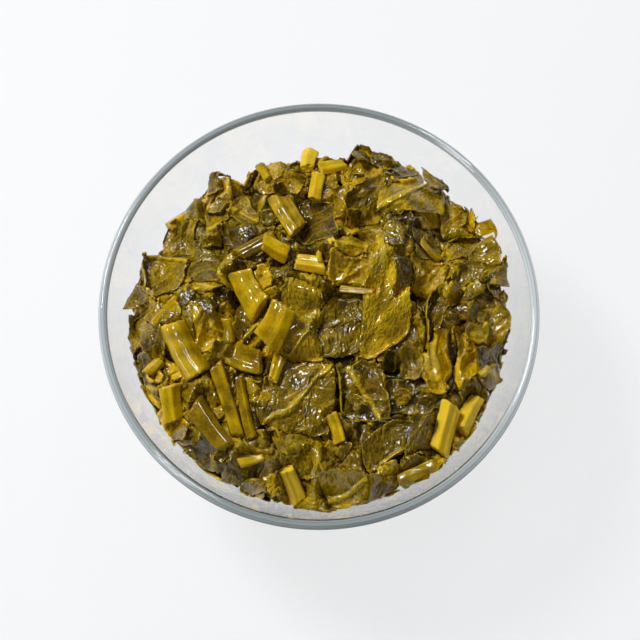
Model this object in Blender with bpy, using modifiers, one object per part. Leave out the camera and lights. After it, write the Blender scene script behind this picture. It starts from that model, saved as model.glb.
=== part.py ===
"""Cooked, chopped collard greens heaped in a clear glass bowl.

Metres, +Z up. The origin is the centre of the bowl's foot, on the table. The heap is chopped leaf pieces
and short lengths of leaf stalk. The pieces that show best on top of the heap are objects of their own,
laid where they lie on the real thing, and the others are fused in one heap that fills the bowl.
"""

import math

import bmesh
import bpy
import numpy as np
from mathutils import Matrix, Vector

MM = 0.001

# The bowl: a foot, a wall whose meridian is a power curve, and a rounded lip.
RIM_RADIUS = 90 * MM
FOOT_RADIUS = 42 * MM
WALL_TOP = 76 * MM
WALL_POWER = 2.2
FOOT_THICKNESS = 4.6 * MM
RIM_THICKNESS = 3.8 * MM
FOOT_RING = 7 * MM
FOOT_RECESS = 1 * MM
BOWL_SIDES = 48

# The heap: it meets the glass at EDGE_HEIGHT and its crown stands at CROWN_HEIGHT.
EDGE_HEIGHT = 55 * MM
CROWN_HEIGHT = 78 * MM
HEAP_RADIUS = 79.5 * MM
MOST_RADIUS = 78.5 * MM
CROWN_POWER = 0.75
GLASS_GAP = 0.6 * MM
CORE_INSET = 2.4 * MM
CORE_DEPTH = 8 * MM
CORE_EDGE_DEPTH = 3.5 * MM
CORE_SIDES = 32

# The pieces.
LEAF_THICKNESS = 1 * MM
WALL_LEAF_THICKNESS = 3.6 * MM
PIECE_GAP = 0.4 * MM
LEAF_GRID = 5
CRUMPLE = 1.5 * MM
STALK_SIDES = 10
STALK_FLATNESS = 0.68
TOP_FILL = 60
MOST_HIDDEN = 0.7
WALL_FILL = 32
SEED = 41

# The places below are where the pieces are seen against the plane of the rim, from this distance and
# slope. A piece that lies lower than the rim is really further back, and further from the middle.
SIGHT_SLOPE = 1 / math.tan(math.radians(74.8))
SIGHT_DISTANCE = 750 * MM

# One row for each stalk piece: x, y, length, width in mm, and its heading in degrees from +X.
STALKS = [
    (-4, 64, 10, 8, 88),
    (-1, 53, 11, 7, 80),
    (6, 61, 12, 7, 18),
    (-14, 39, 20, 10, -66),
    (-26, 27, 16, 7, 32),
    (-17, 26, 11, 8, -30),
    (-27, 8, 23, 13, -63),
    (-4, 19, 13, 8, -4),
    (-53, -16, 25, 12, -66),
    (-59, -37, 14, 10, 92),
    (-43, -50, 19, 11, -55),
    (-27, -20, 13, 11, -20),
    (-17, -7, 18, 14, 61),
    (-18, -25, 11, 6, 72),
    (-37, -38, 28, 7, -72),
    (-29, -41, 26, 5.5, -78),
    (-11, -75, 18, 8, -75),
    (6, -49, 12, 6.5, -72),
    (51, -52, 20, 10, 84),
    (62, -44, 18, 10, 54),
    (40, -67, 18, 7, 38),
    (45, 25, 10, 4.5, -35),
    (16, 9, 15, 4, -12),
]

# One row for each large leaf piece: its four cut corners in mm, anticlockwise, then how it leans, as the
# rise in mm per mm towards +X and +Y. A piece lies on those in the rows above it.
LEAVES = [
    ((-77, -6), (-68, -26), (-62, -20), (-66, -3), (-0.15, 0)),
    ((-76, -22), (-64, -40), (-60, -28), (-69, -20), (-0.2, 0)),
    ((-53, -58), (-40, -69), (-33, -62), (-47, -50), (0, -0.1)),
    ((-38, -72), (-19, -77), (-16, -62), (-36, -60), (0, -0.15)),
    ((64, -18), (77, -16), (77, 0), (63, -1), (0.15, 0)),
    ((51, 32), (68, 32), (61, 41), (51, 50), (0.1, 0.2)),
    ((28, 56), (42, 58), (34, 67), (26, 67), (0, 0.2)),
    ((11, 54), (28, 57), (25, 70), (14, 72), (0, 0.35)),
    ((-45, 48), (-31, 50), (-36, 60), (-46, 60), (-0.1, 0.35)),
    ((-65, 23), (-53, 21), (-50, 37), (-61, 35), (-0.1, 0.2)),
    ((-26, 49), (-9, 50), (-3, 60), (-24, 61), (0, 0.2)),
    ((-9, 28), (7, 30), (5, 49), (-9, 47), (0, 0)),
    ((-50, -17), (-34, -17), (-34, -2), (-50, -1), (0, 0)),
    ((-71, 4), (-57, 9), (-54, 24), (-73, 22), (-0.2, 0.1)),
    ((-54, 12), (-36, 11), (-38, 27), (-50, 29), (-0.1, -0.1)),
    ((-46, 30), (-36, 40), (-38, 57), (-48, 44), (0.25, -0.1)),
    ((5, 12), (22, 12), (21, 23), (4, 23), (0, 0)),
    ((38, 6), (51, 10), (53, 20), (38, 24), (-0.1, 0)),
    ((53, 20), (70, 21), (70, 31), (52, 31), (0.1, -0.1)),
    ((11, 38), (24, 38), (29, 60), (13, 51), (-0.25, 0.1)),
    ((24, 41), (51, 41), (52, 57), (27, 53), (0, 0.15)),
    ((28, -42), (51, -42), (51, -30), (27, -27), (0, -0.1)),
    ((43, -16), (50, -6), (56, 9), (46, 11), (0.3, 0)),
    ((-14, -68), (2, -70), (2, -50), (-15, -49), (0, -0.1)),
    ((2, -70), (18, -70), (17, -55), (1, -52), (0, 0)),
    ((5, -82), (20, -81), (19, -69), (0, -67), (0, -0.2)),
    ((18, -70), (45, -47), (38, -44), (19, -50), (0, 0.1)),
    ((-26, -46), (3, -52), (6, -20), (-20, -22), (0, 0)),
    ((10, -44), (29, -45), (24, -20), (8, -22), (0.15, 0)),
    ((-16, -19), (1, -19), (2, 9), (-14, 12), (0, 0)),
    ((1, -19), (22, -15), (21, 5), (2, 5), (0.1, 0)),
    ((24, -22), (42, -17), (40, -5), (25, -12), (0, -0.2)),
    ((55, -34), (66, -24), (61, -9), (56, -9), (-0.3, 0)),
    ((40, -30), (52, -37), (52, -9), (48, -8), (-0.4, 0)),
    ((16, -20), (40, -5), (31, 34), (22, 29), (0, 0.1)),
]

# The ground is the height of what has been laid so far, on a square grid of cells.
CELL = 1 * MM
REACH = 92
CELLS = 2 * REACH + 1


def wall_point(share, outward):
    """(radius, height) of the bowl's wall at a share of the way from foot to rim, moved along its normal.

    The outer meridian is radius = foot + (rim - foot) * share, height = top * share ** power.
    """
    rise = WALL_TOP * share**WALL_POWER
    radius = FOOT_RADIUS + (RIM_RADIUS - FOOT_RADIUS) * share
    along = np.array([RIM_RADIUS - FOOT_RADIUS, WALL_TOP * WALL_POWER * share ** (WALL_POWER - 1)])
    along = along / np.linalg.norm(along)
    return radius + along[1] * outward, rise - along[0] * outward


def glass_thickness(share):
    return FOOT_THICKNESS + (RIM_THICKNESS - FOOT_THICKNESS) * share


def inner_profile(count):
    """The inside of the bowl from the middle of its floor to the rim, as an array of (radius, height)."""
    points = [wall_point(s, -glass_thickness(s)) for s in np.linspace(0, 1, count)]
    floor = [(0.0, points[0][1])]
    return np.array(floor + points)


INSIDE = inner_profile(160)


def inner_radius(height):
    return np.interp(height, INSIDE[1:, 1], INSIDE[1:, 0])


def crown(radius):
    """Height of the heap at a distance from the middle."""
    fall = np.clip(1 - (np.asarray(radius) / HEAP_RADIUS) ** 2, 0, 1)
    return EDGE_HEIGHT + (CROWN_HEIGHT - EDGE_HEIGHT) * fall**CROWN_POWER


def core_top(radius):
    """Height of the heap's solid core, which lies deeper under the crown in the middle than at the edge."""
    share = np.clip(np.asarray(radius) / HEAP_RADIUS, 0, 1) ** 2
    return crown(radius) - CORE_DEPTH + (CORE_DEPTH - CORE_EDGE_DEPTH) * share


def placed(x, y):
    """The place on the heap of a point that is seen at x, y in mm in the plane of the rim."""
    seen = np.array([x, y]) * MM
    place = seen
    for _ in range(3):
        depth = WALL_TOP - crown(np.linalg.norm(place))
        place = seen * (1 + depth / SIGHT_DISTANCE) + np.array([0, depth * SIGHT_SLOPE])
    return place * min(1, MOST_RADIUS / np.linalg.norm(place))


def material(name, colour, roughness, transmission=0.0):
    made = bpy.data.materials.new(name)
    made.use_nodes = True
    shader = made.node_tree.nodes["Principled BSDF"]
    shader.inputs["Base Color"].default_value = (*colour, 1)
    shader.inputs["Roughness"].default_value = roughness
    shader.inputs["Transmission Weight"].default_value = transmission
    made.diffuse_color = (*colour, 1)
    return made


def collection(name):
    made = bpy.data.collections.new(name)
    bpy.context.scene.collection.children.link(made)
    return made


def add(name, mesh, group, finish=None):
    obj = bpy.data.objects.new(name, mesh)
    group.objects.link(obj)
    if finish:
        mesh.materials.clear()
        mesh.materials.append(finish)
    return obj


def evaluated_mesh(obj):
    bpy.context.view_layer.update()
    graph = bpy.context.evaluated_depsgraph_get()
    return bpy.data.meshes.new_from_object(obj.evaluated_get(graph))


def remove_all(group):
    for obj in list(group.objects):
        bpy.data.objects.remove(obj)
    bpy.data.collections.remove(group)


def turned(name, profile, sides, group, finish=None):
    """A solid of revolution about Z from an array of (radius, height) that runs down its outer side."""
    mesh = bpy.data.meshes.new(name)
    mesh.from_pydata([(r, 0, z) for r, z in profile], [(i, i + 1) for i in range(len(profile) - 1)], [])
    obj = add(name, mesh, group, finish)
    screw = obj.modifiers.new("Screw", "SCREW")
    screw.steps = screw.render_steps = sides
    screw.use_merge_vertices = True
    screw.merge_threshold = 0.00001
    return obj


def glass_bowl(group, finish):
    shares = np.linspace(0, 1, 8)
    inside = [wall_point(s, -glass_thickness(s)) for s in shares]
    outside = [wall_point(s, 0) for s in shares]
    lip_inner, lip_outer = np.array(inside[-1]), np.array(outside[-1])
    middle, half = (lip_inner + lip_outer) / 2, (lip_inner - lip_outer) / 2
    up = np.array([half[1], -half[0]])
    angles = np.linspace(0, math.pi, 6)[1:-1]
    lip = [middle + half * math.cos(a) + up * math.sin(a) for a in angles]
    ring = FOOT_RADIUS - FOOT_RING
    foot = [(ring, 0), (ring - FOOT_RECESS, FOOT_RECESS), (0, FOOT_RECESS)]
    profile = [(0, inside[0][1]), *inside, *lip, *outside[::-1], *foot]
    bowl = turned("glass_bowl", profile, BOWL_SIDES, group, finish)
    bowl.modifiers["Screw"].use_smooth_shade = True
    return bowl


def cell_of(points):
    index = np.rint(points / CELL).astype(int) + REACH
    return tuple(np.clip(index, 0, CELLS - 1).T)


def fresh_ground():
    """The top of the core, before any piece is laid."""
    steps = (np.arange(CELLS) - REACH) * CELL
    x, y = np.meshgrid(steps, steps, indexing="ij")
    return core_top(np.hypot(x, y))


def patch(corners, count):
    """Points of a count by count grid over a quadrilateral, by bilinear interpolation of its corners."""
    u, v = np.meshgrid(np.linspace(0, 1, count), np.linspace(0, 1, count), indexing="ij")
    shares = np.stack([(1 - u) * (1 - v), u * (1 - v), u * v, (1 - u) * v], axis=-1)
    return shares.reshape(-1, 4) @ np.asarray(corners)


def bowed(points, middle):
    """The six terms of a quadric, for each point."""
    x, y = (points - middle).T / (10 * MM)
    return np.stack([np.ones_like(x), x, y, x * x, x * y, y * y], axis=-1)


def crumple(rng, height):
    """A creased height field over plan points: three folded waves of random heading, length and phase."""
    heading = rng.uniform(0, math.pi, 3)
    number = math.tau / (rng.uniform(16, 30, 3) * MM)
    phase = rng.uniform(0, math.tau, 3)

    def field(points):
        along = points[:, :1] * np.cos(heading) + points[:, 1:2] * np.sin(heading)
        return height * (np.abs(np.sin(along * number / 2 + phase)) - 0.64).sum(axis=1)

    return field


def laid_leaf(ground, corners, lean, rng):
    """The surface on which a leaf piece lies, as a function of plan points.

    It is the best quadric fit to the ground below, leaned, curled and crumpled, and raised until nine
    tenths of it is clear.
    """
    samples = patch(corners, 26)
    middle = samples.mean(axis=0)
    below = ground[cell_of(samples)]
    terms = bowed(samples, middle)
    shape = np.linalg.lstsq(terms, below, rcond=None)[0]
    shape[1:3] += np.array(lean) * 10 * MM
    shape[3:6] = shape[3:6] * 0.7 + rng.uniform(-1, 0.7, 3) * MM
    creases = crumple(rng, CRUMPLE)
    top = terms @ shape + creases(samples)
    rise = np.percentile(below - top, 90) + LEAF_THICKNESS
    np.maximum.at(ground, cell_of(samples), top + rise)
    return lambda points: bowed(points, middle) @ shape + creases(points) + rise


def kept_in_bowl(points):
    """Points moved towards the axis where they would be nearer the glass than the gap."""
    radius = np.hypot(points[:, 0], points[:, 1])
    most = inner_radius(points[:, 2] - LEAF_THICKNESS) - GLASS_GAP - LEAF_THICKNESS
    share = np.minimum(1, most / np.maximum(radius, CELL))
    return points * np.stack([share, share, np.ones_like(share)], axis=1)


def leaf_mesh(name, grid):
    """An open sheet of triangles through a square grid of points."""
    count = len(grid)
    form = bmesh.new()
    bmesh.ops.create_grid(form, x_segments=count - 1, y_segments=count - 1, size=1)
    order = np.lexsort([[v.co.y for v in form.verts], [v.co.x for v in form.verts]])
    form.verts.ensure_lookup_table()
    for i, place in zip(order, grid.reshape(-1, 3)):
        form.verts[i].co = place
    bmesh.ops.triangulate(form, faces=form.faces[:])
    mesh = bpy.data.meshes.new(name)
    form.to_mesh(mesh)
    form.free()
    return mesh


def extended(grid, by):
    """The grid with each border moved outwards along the sheet's own slope."""
    grid = grid.copy()
    for side in (grid, grid[::-1], grid.swapaxes(0, 1), grid.swapaxes(0, 1)[::-1]):
        slope = side[0] - side[1]
        side[0] += slope * by / np.linalg.norm(slope, axis=1, keepdims=True)
    return grid


def leaf(name, points, group, finish=None, grow=0.0, thickness=LEAF_THICKNESS):
    """A leaf piece whose upper face runs through the points: a closed slab, grown all round if asked."""
    count = math.isqrt(len(points))
    grid = extended(points.reshape(count, count, 3), grow)
    obj = add(name, leaf_mesh(name, grid), group)
    shell = obj.modifiers.new("Solidify", "SOLIDIFY")
    shell.thickness = thickness + 2 * grow
    shell.offset = 2 * grow / shell.thickness - 1
    solid = evaluated_mesh(obj)
    bpy.data.objects.remove(obj)
    return add(name, solid, group, finish)


def laid_stalk(ground, row):
    """The matrix that lays a stalk piece on the ground, and the size of the piece, from its row."""
    x, y, length, width, heading = row
    length, width = length * MM, width * MM
    thickness = width * STALK_FLATNESS
    middle = np.array(placed(x, y))
    turn = math.radians(heading)
    ahead = np.array([math.cos(turn), math.sin(turn)])
    aside = np.array([-ahead[1], ahead[0]])
    signs = ((-1, -1), (1, -1), (1, 1), (-1, 1))
    corners = [middle + ahead * i * length / 2 + aside * j * width / 2 for i, j in signs]
    samples = patch(corners, 18)
    below = ground[cell_of(samples)]
    terms = bowed(samples, middle)[:, :3]
    plane = np.linalg.lstsq(terms, below, rcond=None)[0]
    plane[0] += np.percentile(below - terms @ plane, 55)
    normal = Vector((-plane[1] / (10 * MM), -plane[2] / (10 * MM), 1)).normalized()
    side = normal.cross(Vector((*ahead, 0))).normalized()
    front = side.cross(normal)
    centre = Vector((*middle, plane[0])) + normal * thickness * 0.5
    np.maximum.at(ground, cell_of(samples), terms @ plane + thickness * 0.8)
    placing = Matrix((front, side, normal)).transposed().to_4x4()
    ends = [centre + front * i * length / 2 + side * j * width / 2 for i in (-1, 1) for j in (-1, 1)]
    excess = max(e.xy.length - inner_radius(e.z - thickness / 2) + GLASS_GAP for e in ends)
    placing.translation = centre - centre.xy.normalized().to_3d() * max(0, excess)
    return placing, (length, width, thickness)


def stalk_mesh(name, size, slants, grow=0.0):
    """A cut length of leaf stalk along X: round below, with a shallow groove above and slanting cut ends."""
    length, width, thickness = (s + 2 * grow for s in size)
    form = bmesh.new()
    bmesh.ops.create_cone(form, cap_ends=True, segments=STALK_SIDES, radius1=0.5, radius2=0.46, depth=1)
    bmesh.ops.rotate(form, verts=form.verts, matrix=Matrix.Rotation(math.pi / 2, 3, "Y"))
    for v in form.verts:
        end = 1 if v.co.x > 0 else -1
        slant = slants[0] if end > 0 else slants[1]
        x = end * length / 2 - end * slant * (v.co.y + 0.5) * width * 0.5
        groove = 0.45 * math.exp(-((v.co.y / 0.2) ** 2)) if v.co.z > 0.1 else 0.0
        v.co = (x, v.co.y * width, v.co.z * thickness * (1 - groove))
    mesh = bpy.data.meshes.new(name)
    form.to_mesh(mesh)
    form.free()
    mesh.shade_smooth()
    mesh.set_sharp_from_angle(angle=math.radians(40))
    return mesh


def largest_body(mesh):
    """Keeps the body with the most volume, and drops loose scraps and the walls of sealed hollows."""
    form = bmesh.new()
    form.from_mesh(mesh)
    bmesh.ops.remove_doubles(form, verts=form.verts, dist=0.000002)
    bmesh.ops.triangulate(form, faces=form.faces[:])
    unseen = set(form.faces)
    bodies = []
    while unseen:
        body, edge = [], [unseen.pop()]
        while edge:
            face = edge.pop()
            body.append(face)
            near = {f for e in face.edges for f in e.link_faces} & unseen
            unseen -= near
            edge.extend(near)
        volume = sum(f.verts[0].co.dot(f.verts[1].co.cross(f.verts[2].co)) for f in body)
        bodies.append((volume, body))
    bodies.sort(key=lambda b: b[0])
    scraps = [f for _, body in bodies[:-1] for f in body]
    bmesh.ops.delete(form, geom=scraps, context="FACES")
    form.to_mesh(mesh)
    form.free()


def combined(obj, others, operation):
    """obj's mesh joined with, or cut by, every solid of a collection."""
    boolean = obj.modifiers.new("Boolean", "BOOLEAN")
    boolean.operation = operation
    boolean.operand_type = "COLLECTION"
    boolean.collection = others
    boolean.solver = "MANIFOLD"
    mesh = evaluated_mesh(obj)
    obj.modifiers.remove(boolean)
    largest_body(mesh)
    old = obj.data
    mesh.materials.clear()
    for finish in old.materials:
        mesh.materials.append(finish)
    obj.data = mesh
    return obj


def core(group, finish):
    """The packed middle of the heap: a turned solid a little smaller than the space that it fills."""
    shares = np.linspace(0, 1, 60)
    lower = np.array([wall_point(s, -glass_thickness(s) - CORE_INSET) for s in shares])
    lower = lower[lower[:, 1] < EDGE_HEIGHT - CORE_EDGE_DEPTH][::-8][::-1]
    radii = np.linspace(0, 0.97, 7) * lower[-1, 0]
    top = [(r, core_top(r)) for r in radii]
    return turned("leaf_heap", [*top, *lower[::-1], (0, lower[0][1])], CORE_SIDES, group, finish)


def random_corners(rng, middle, size):
    """A four-sided piece of roughly the given size about a point, turned and cut at random."""
    turn = rng.uniform(0, math.tau)
    angles = turn + math.pi / 4 + np.arange(4) * math.pi / 2 + rng.uniform(-0.25, 0.25, 4)
    reach = size * rng.uniform(0.55, 0.8, 4)
    return np.asarray(middle) + np.stack([np.cos(angles), np.sin(angles)], axis=1) * reach[:, None]


def hidden_cells():
    """The cells of the ground that the large leaf pieces will cover."""
    hidden = np.zeros((CELLS, CELLS), bool)
    for *corners, _ in LEAVES:
        hidden[cell_of(patch([placed(*c) for c in corners], 40))] = True
    return hidden


def fill_top(ground, group):
    """Chopped pieces over the crown where it stays in sight, on a sunflower spiral that covers it evenly."""
    hidden = hidden_cells()
    for i in np.random.default_rng(SEED).permutation(TOP_FILL):
        rng = np.random.default_rng((SEED, 1, i))
        radius = HEAP_RADIUS * 0.95 * math.sqrt((i + 0.5) / TOP_FILL)
        angle = i * math.pi * (3 - math.sqrt(5))
        middle = (radius * math.cos(angle), radius * math.sin(angle))
        corners = random_corners(rng, middle, rng.uniform(17, 25) * MM)
        if hidden[cell_of(patch(corners, 12))].mean() > MOST_HIDDEN:
            continue
        surface = laid_leaf(ground, corners, rng.uniform(-0.3, 0.3, 2), rng)
        plan = patch(corners, 3)
        points = kept_in_bowl(np.column_stack([plan, surface(plan)]))
        leaf(f"fill_{i}", points, group)


def onto_wall(points, gap):
    """Points moved to the inside of the bowl, a gap clear of the glass, each along its shortest way."""
    shares = np.linspace(0, 1, 160)
    curve = np.array([wall_point(s, -glass_thickness(s) - gap) for s in shares])
    floor = np.column_stack([np.linspace(0, curve[0, 0], 30)[:-1], np.full(29, curve[0, 1])])
    curve = np.vstack([floor, curve])
    radius = np.hypot(points[:, 0], points[:, 1])
    spread = np.hypot(radius[:, None] - curve[:, 0], points[:, 2:3] - curve[:, 1])
    nearest = curve[spread.argmin(axis=1)]
    around = points[:, :2] / np.maximum(radius, CELL)[:, None]
    return np.column_stack([around * nearest[:, :1], nearest[:, 1]])


def fill_wall(group):
    """Chopped pieces pressed flat on the glass all round, from the bowl's floor up to the heap's edge."""
    for i in range(WALL_FILL):
        rng = np.random.default_rng((SEED, 2, i))
        height = (i + 0.5) / WALL_FILL * (EDGE_HEIGHT - 12 * MM) + 4 * MM
        angle = i * math.pi * (3 - math.sqrt(5))
        radius = inner_radius(height) if height > 8 * MM else rng.uniform(0, 40) * MM
        middle = np.array([radius * math.cos(angle), radius * math.sin(angle), height])
        middle = onto_wall(middle[None], GLASS_GAP)[0]
        flat = random_corners(rng, (0, 0), rng.uniform(19, 26) * MM)
        slope = min(1.0, height / (30 * MM))
        around = np.array([-math.sin(angle), math.cos(angle), 0])
        outward = np.array([math.cos(angle), math.sin(angle), 0])
        upward = outward * (1 - slope) + np.array([0, 0, max(slope, 0.02)])
        upward /= np.linalg.norm(upward)
        plan = patch(flat, 3)
        tangent = middle + plan[:, :1] * around + plan[:, 1:] * upward
        tangent[:, 2] = np.minimum(tangent[:, 2], EDGE_HEIGHT - 2 * MM)
        points = onto_wall(tangent, GLASS_GAP + rng.uniform(0, 0.8) * MM)
        leaf(f"wall_{i}", points, group, thickness=WALL_LEAF_THICKNESS)


def leaf_heap(ground, parts, finish):
    pieces = collection("heap_pieces")
    heap = core(parts, finish)
    fill_top(ground, pieces)
    fill_wall(pieces)
    heap.data = evaluated_mesh(heap)
    heap.modifiers.clear()
    combined(heap, pieces, "UNION")
    remove_all(pieces)
    return heap


def top_pieces(ground, parts, cutters, leaf_finish, stalk_finish):
    """The large leaf pieces, then the stalk pieces, each with a slightly larger copy to clear its place."""
    made = []
    for number, (*corners, lean) in enumerate(LEAVES, 1):
        corners = np.array([placed(*c) for c in corners])
        surface = laid_leaf(ground, corners, lean, np.random.default_rng((SEED, 3, number)))
        plan = patch(corners, LEAF_GRID)
        points = kept_in_bowl(np.column_stack([plan, surface(plan)]))
        name = f"leaf_piece_{number:02d}"
        whole = leaf(name, points, parts, leaf_finish)
        made.append((whole, leaf(name + "_clear", points, cutters, grow=PIECE_GAP)))
    for number, row in enumerate(STALKS, 1):
        placing, size = laid_stalk(ground, row)
        slants = np.random.default_rng((SEED, 4, number)).uniform(-0.5, 0.5, 2)
        name = f"stalk_piece_{number:02d}"
        whole = add(name, stalk_mesh(name, size, slants), parts, stalk_finish)
        clear = add(name + "_clear", stalk_mesh(name, size, slants, PIECE_GAP), cutters)
        whole.matrix_world = clear.matrix_world = placing
        made.append((whole, clear))
    return made


def world_box(obj):
    corners = np.array([obj.matrix_world @ v.co for v in obj.data.vertices])
    return corners.min(axis=0), corners.max(axis=0)


def boxes_meet(a, b):
    return bool((a[0] < b[1]).all() and (b[0] < a[1]).all())


def clear_of_later(made):
    """Cuts each top piece by the clearance of every piece laid after it that reaches it."""
    boxes = [world_box(clear) for _, clear in made]
    for i, (whole, _) in enumerate(made):
        later = [clear for j, (_, clear) in enumerate(made) if j > i and boxes_meet(boxes[i], boxes[j])]
        if not later:
            continue
        near = collection("near")
        for clear in later:
            near.objects.link(clear)
        combined(whole, near, "DIFFERENCE")
        for clear in later:
            near.objects.unlink(clear)
        bpy.data.collections.remove(near)


def main():
    for obj in list(bpy.data.objects):
        bpy.data.objects.remove(obj, do_unlink=True)
    parts = collection("collard_greens")
    cutters = collection("clearances")
    cutters.hide_render = True
    ground = fresh_ground()
    glass = material("clear_glass", (0.86, 0.92, 0.92), 0.03, 1.0)
    leaf_green = material("cooked_leaf", (0.085, 0.075, 0.008), 0.3)
    heap_green = material("packed_leaf", (0.06, 0.055, 0.008), 0.35)
    stalk_green = material("cooked_stalk", (0.36, 0.27, 0.02), 0.3)
    glass_bowl(parts, glass)
    heap = leaf_heap(ground, parts, heap_green)
    made = top_pieces(ground, parts, cutters, leaf_green, stalk_green)
    clear_of_later(made)
    combined(heap, cutters, "DIFFERENCE")
    remove_all(cutters)


main()
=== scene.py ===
# %% [markdown]
# # Cooked collard greens in a clear glass bowl
# The bowl is a turned piece of clear glass. In it lies a heap of collard leaves that were chopped, cooked and
# left wet: thin creased bits of leaf, and thicker bits of leaf stalk. Everything here is a grid of points
# worked out with numpy, on the same places as the fixed frame's solids.

# %% Load the fixed frame
import math

import bpy
import numpy as np
from mathutils import Matrix, Vector


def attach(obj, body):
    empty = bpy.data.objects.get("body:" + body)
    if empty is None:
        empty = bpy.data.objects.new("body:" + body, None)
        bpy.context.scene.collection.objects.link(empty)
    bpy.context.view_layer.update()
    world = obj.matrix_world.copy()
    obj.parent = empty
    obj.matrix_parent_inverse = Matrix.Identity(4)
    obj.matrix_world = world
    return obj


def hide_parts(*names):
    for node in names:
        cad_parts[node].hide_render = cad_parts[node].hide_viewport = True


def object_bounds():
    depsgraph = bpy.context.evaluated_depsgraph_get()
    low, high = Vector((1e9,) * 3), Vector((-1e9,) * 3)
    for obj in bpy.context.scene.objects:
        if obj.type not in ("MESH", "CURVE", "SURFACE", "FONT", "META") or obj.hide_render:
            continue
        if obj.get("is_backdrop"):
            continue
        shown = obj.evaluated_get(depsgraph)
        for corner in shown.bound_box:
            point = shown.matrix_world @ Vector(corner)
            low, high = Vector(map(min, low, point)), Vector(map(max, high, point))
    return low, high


MM = 0.001
TAU = 2 * math.pi
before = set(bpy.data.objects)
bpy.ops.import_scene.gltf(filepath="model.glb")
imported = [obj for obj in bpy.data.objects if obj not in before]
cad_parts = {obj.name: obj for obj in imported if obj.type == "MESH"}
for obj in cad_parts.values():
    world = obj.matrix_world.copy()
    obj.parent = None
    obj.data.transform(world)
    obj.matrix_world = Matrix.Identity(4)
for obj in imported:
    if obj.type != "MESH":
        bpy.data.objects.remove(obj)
frame_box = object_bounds()
print("frame nodes:", len(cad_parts))
print("frame box:", [tuple(round(c, 4) for c in corner) for corner in frame_box])

# %% [markdown]
# ## Putting a grid of points into a mesh
# Every piece below is one or more grids of points. A grid that closes on itself wraps round, and a thin sheet
# is two grids with a rim of faces between them. The colours need to know what each point is, so each piece
# carries an attribute named "look" with four numbers: tone (0 dark olive, 1 yellow, with painted shade in
# the hollows of a leaf and painted light on its puckers, near its edge and on the ridges of a stalk), vein
# (0 blade, 1 vein), cut (0 skin, 1 cut edge) and chance (a random number for the bit). A second one, "flat",
# is where the point would be in millimetres if the bit lay flat, so that a grain can run along the bit.


# %% Helpers for meshes
def grid_faces(rows, columns, wrap=False):
    """Two triangles for each cell of a grid, as point numbers. With wrap, the last column meets the first."""
    row = np.arange(rows - 1)[:, None] * columns
    column = np.arange(columns if wrap else columns - 1)[None, :]
    after, below = (column + 1) % columns, row + columns
    a, b, d, e = np.broadcast_arrays(row + column, row + after, below + after, below + column)
    return np.concatenate([np.stack(t, axis=-1).reshape(-1, 3) for t in ((a, d, b), (a, e, d))])


def strip_faces(ring, other):
    """Triangles between two closed rings of point numbers, facing out where ring runs anticlockwise."""
    after, beyond = np.roll(ring, -1), np.roll(other, -1)
    return np.concatenate([np.stack(t, axis=1) for t in ((ring, other, beyond), (ring, beyond, after))])


def fan_faces(pole, ring):
    """Triangles from one point to each side of a closed ring."""
    return np.stack([np.full_like(ring, pole), ring, np.roll(ring, -1)], axis=1)


def store(items, key, values, kind=np.float32):
    """Gives a whole array to one property of a mesh's points, corners, triangles or attribute."""
    items.foreach_set(key, np.ascontiguousarray(values, kind).ravel())


def make_piece(name, points, faces, look, flat, finish, slot, stands_for=()):
    """One finished object at the origin from arrays of points and triangles, and what each point is."""
    mesh = bpy.data.meshes.new(name)
    mesh.vertices.add(len(points))
    store(mesh.vertices, "co", points)
    mesh.loops.add(faces.size)
    store(mesh.loops, "vertex_index", faces, np.int32)
    mesh.polygons.add(len(faces))
    store(mesh.polygons, "loop_start", np.arange(len(faces)) * 3, np.int32)
    mesh.update(calc_edges=True)
    if look is not None:
        store(mesh.attributes.new("look", "FLOAT_COLOR", "POINT").data, "color", look)
        store(mesh.attributes.new("flat", "FLOAT_VECTOR", "POINT").data, "vector", flat)
    mesh.shade_smooth()
    mesh.materials.append(finish)
    piece = bpy.data.objects.new(name, mesh)
    bpy.context.scene.collection.objects.link(piece)
    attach(piece, "root")
    if stands_for:
        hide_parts(*stands_for)
    return piece


def make_joined(name, bits, finish, slot):
    """One piece from many small bits, each given as its points, triangles, look and flat."""
    points, faces, look, flat = zip(*bits)
    starts = np.cumsum([0] + [len(part) for part in points[:-1]])
    faces = [part + start for part, start in zip(faces, starts)]
    joined = [np.concatenate(part) for part in (points, faces, look, flat)]
    make_piece(name, *joined, finish, slot)
    print(f"{name}: {len(faces)} bits, {len(joined[1])} triangles")


# %% [markdown]
# ## The bowl's form
# The wall's meridian is a power curve: the radius grows in step with a share from 0 at the foot to 1 at the
# rim, and the height grows with that share to a power. The inside is the same curve moved in along its normal
# by the glass's thickness. These are the fixed frame's numbers, repeated because this script stands alone.

# %% The numbers of the bowl and the heap
RIM_RADIUS, FOOT_RADIUS, WALL_TOP, WALL_POWER = 90 * MM, 42 * MM, 76 * MM, 2.2
FOOT_THICKNESS, RIM_THICKNESS, FOOT_RING, FOOT_RECESS = 4.6 * MM, 3.8 * MM, 7 * MM, 1 * MM
EDGE_HEIGHT, CROWN_HEIGHT, CROWN_POWER = 55 * MM, 78 * MM, 0.75
HEAP_RADIUS, MOST_RADIUS, GLASS_GAP = 79.5 * MM, 78.5 * MM, 0.6 * MM
CORE_DEPTH, CORE_EDGE_DEPTH = 8 * MM, 3.5 * MM
LEAF_THICKNESS, CRUMPLE, STALK_FLATNESS = 1 * MM, 1.5 * MM, 0.68
TOP_FILL, MOST_HIDDEN, WALL_FILL, SEED = 60, 0.7, 32, 41
# The photograph is taken from so many radians above the horizon, so far from the middle of the rim.
SIGHT_ELEVATION, SIGHT_DISTANCE = math.radians(74.8), 750 * MM
# The heights are kept in a map with one number for each cell, out to so many cells from the axis.
CELL, REACH = 1 * MM, 92
CELLS = 2 * REACH + 1
# A sunflower spiral turns by this angle from one point to the next.
GOLDEN_ANGLE = math.pi * (3 - math.sqrt(5))
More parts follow.
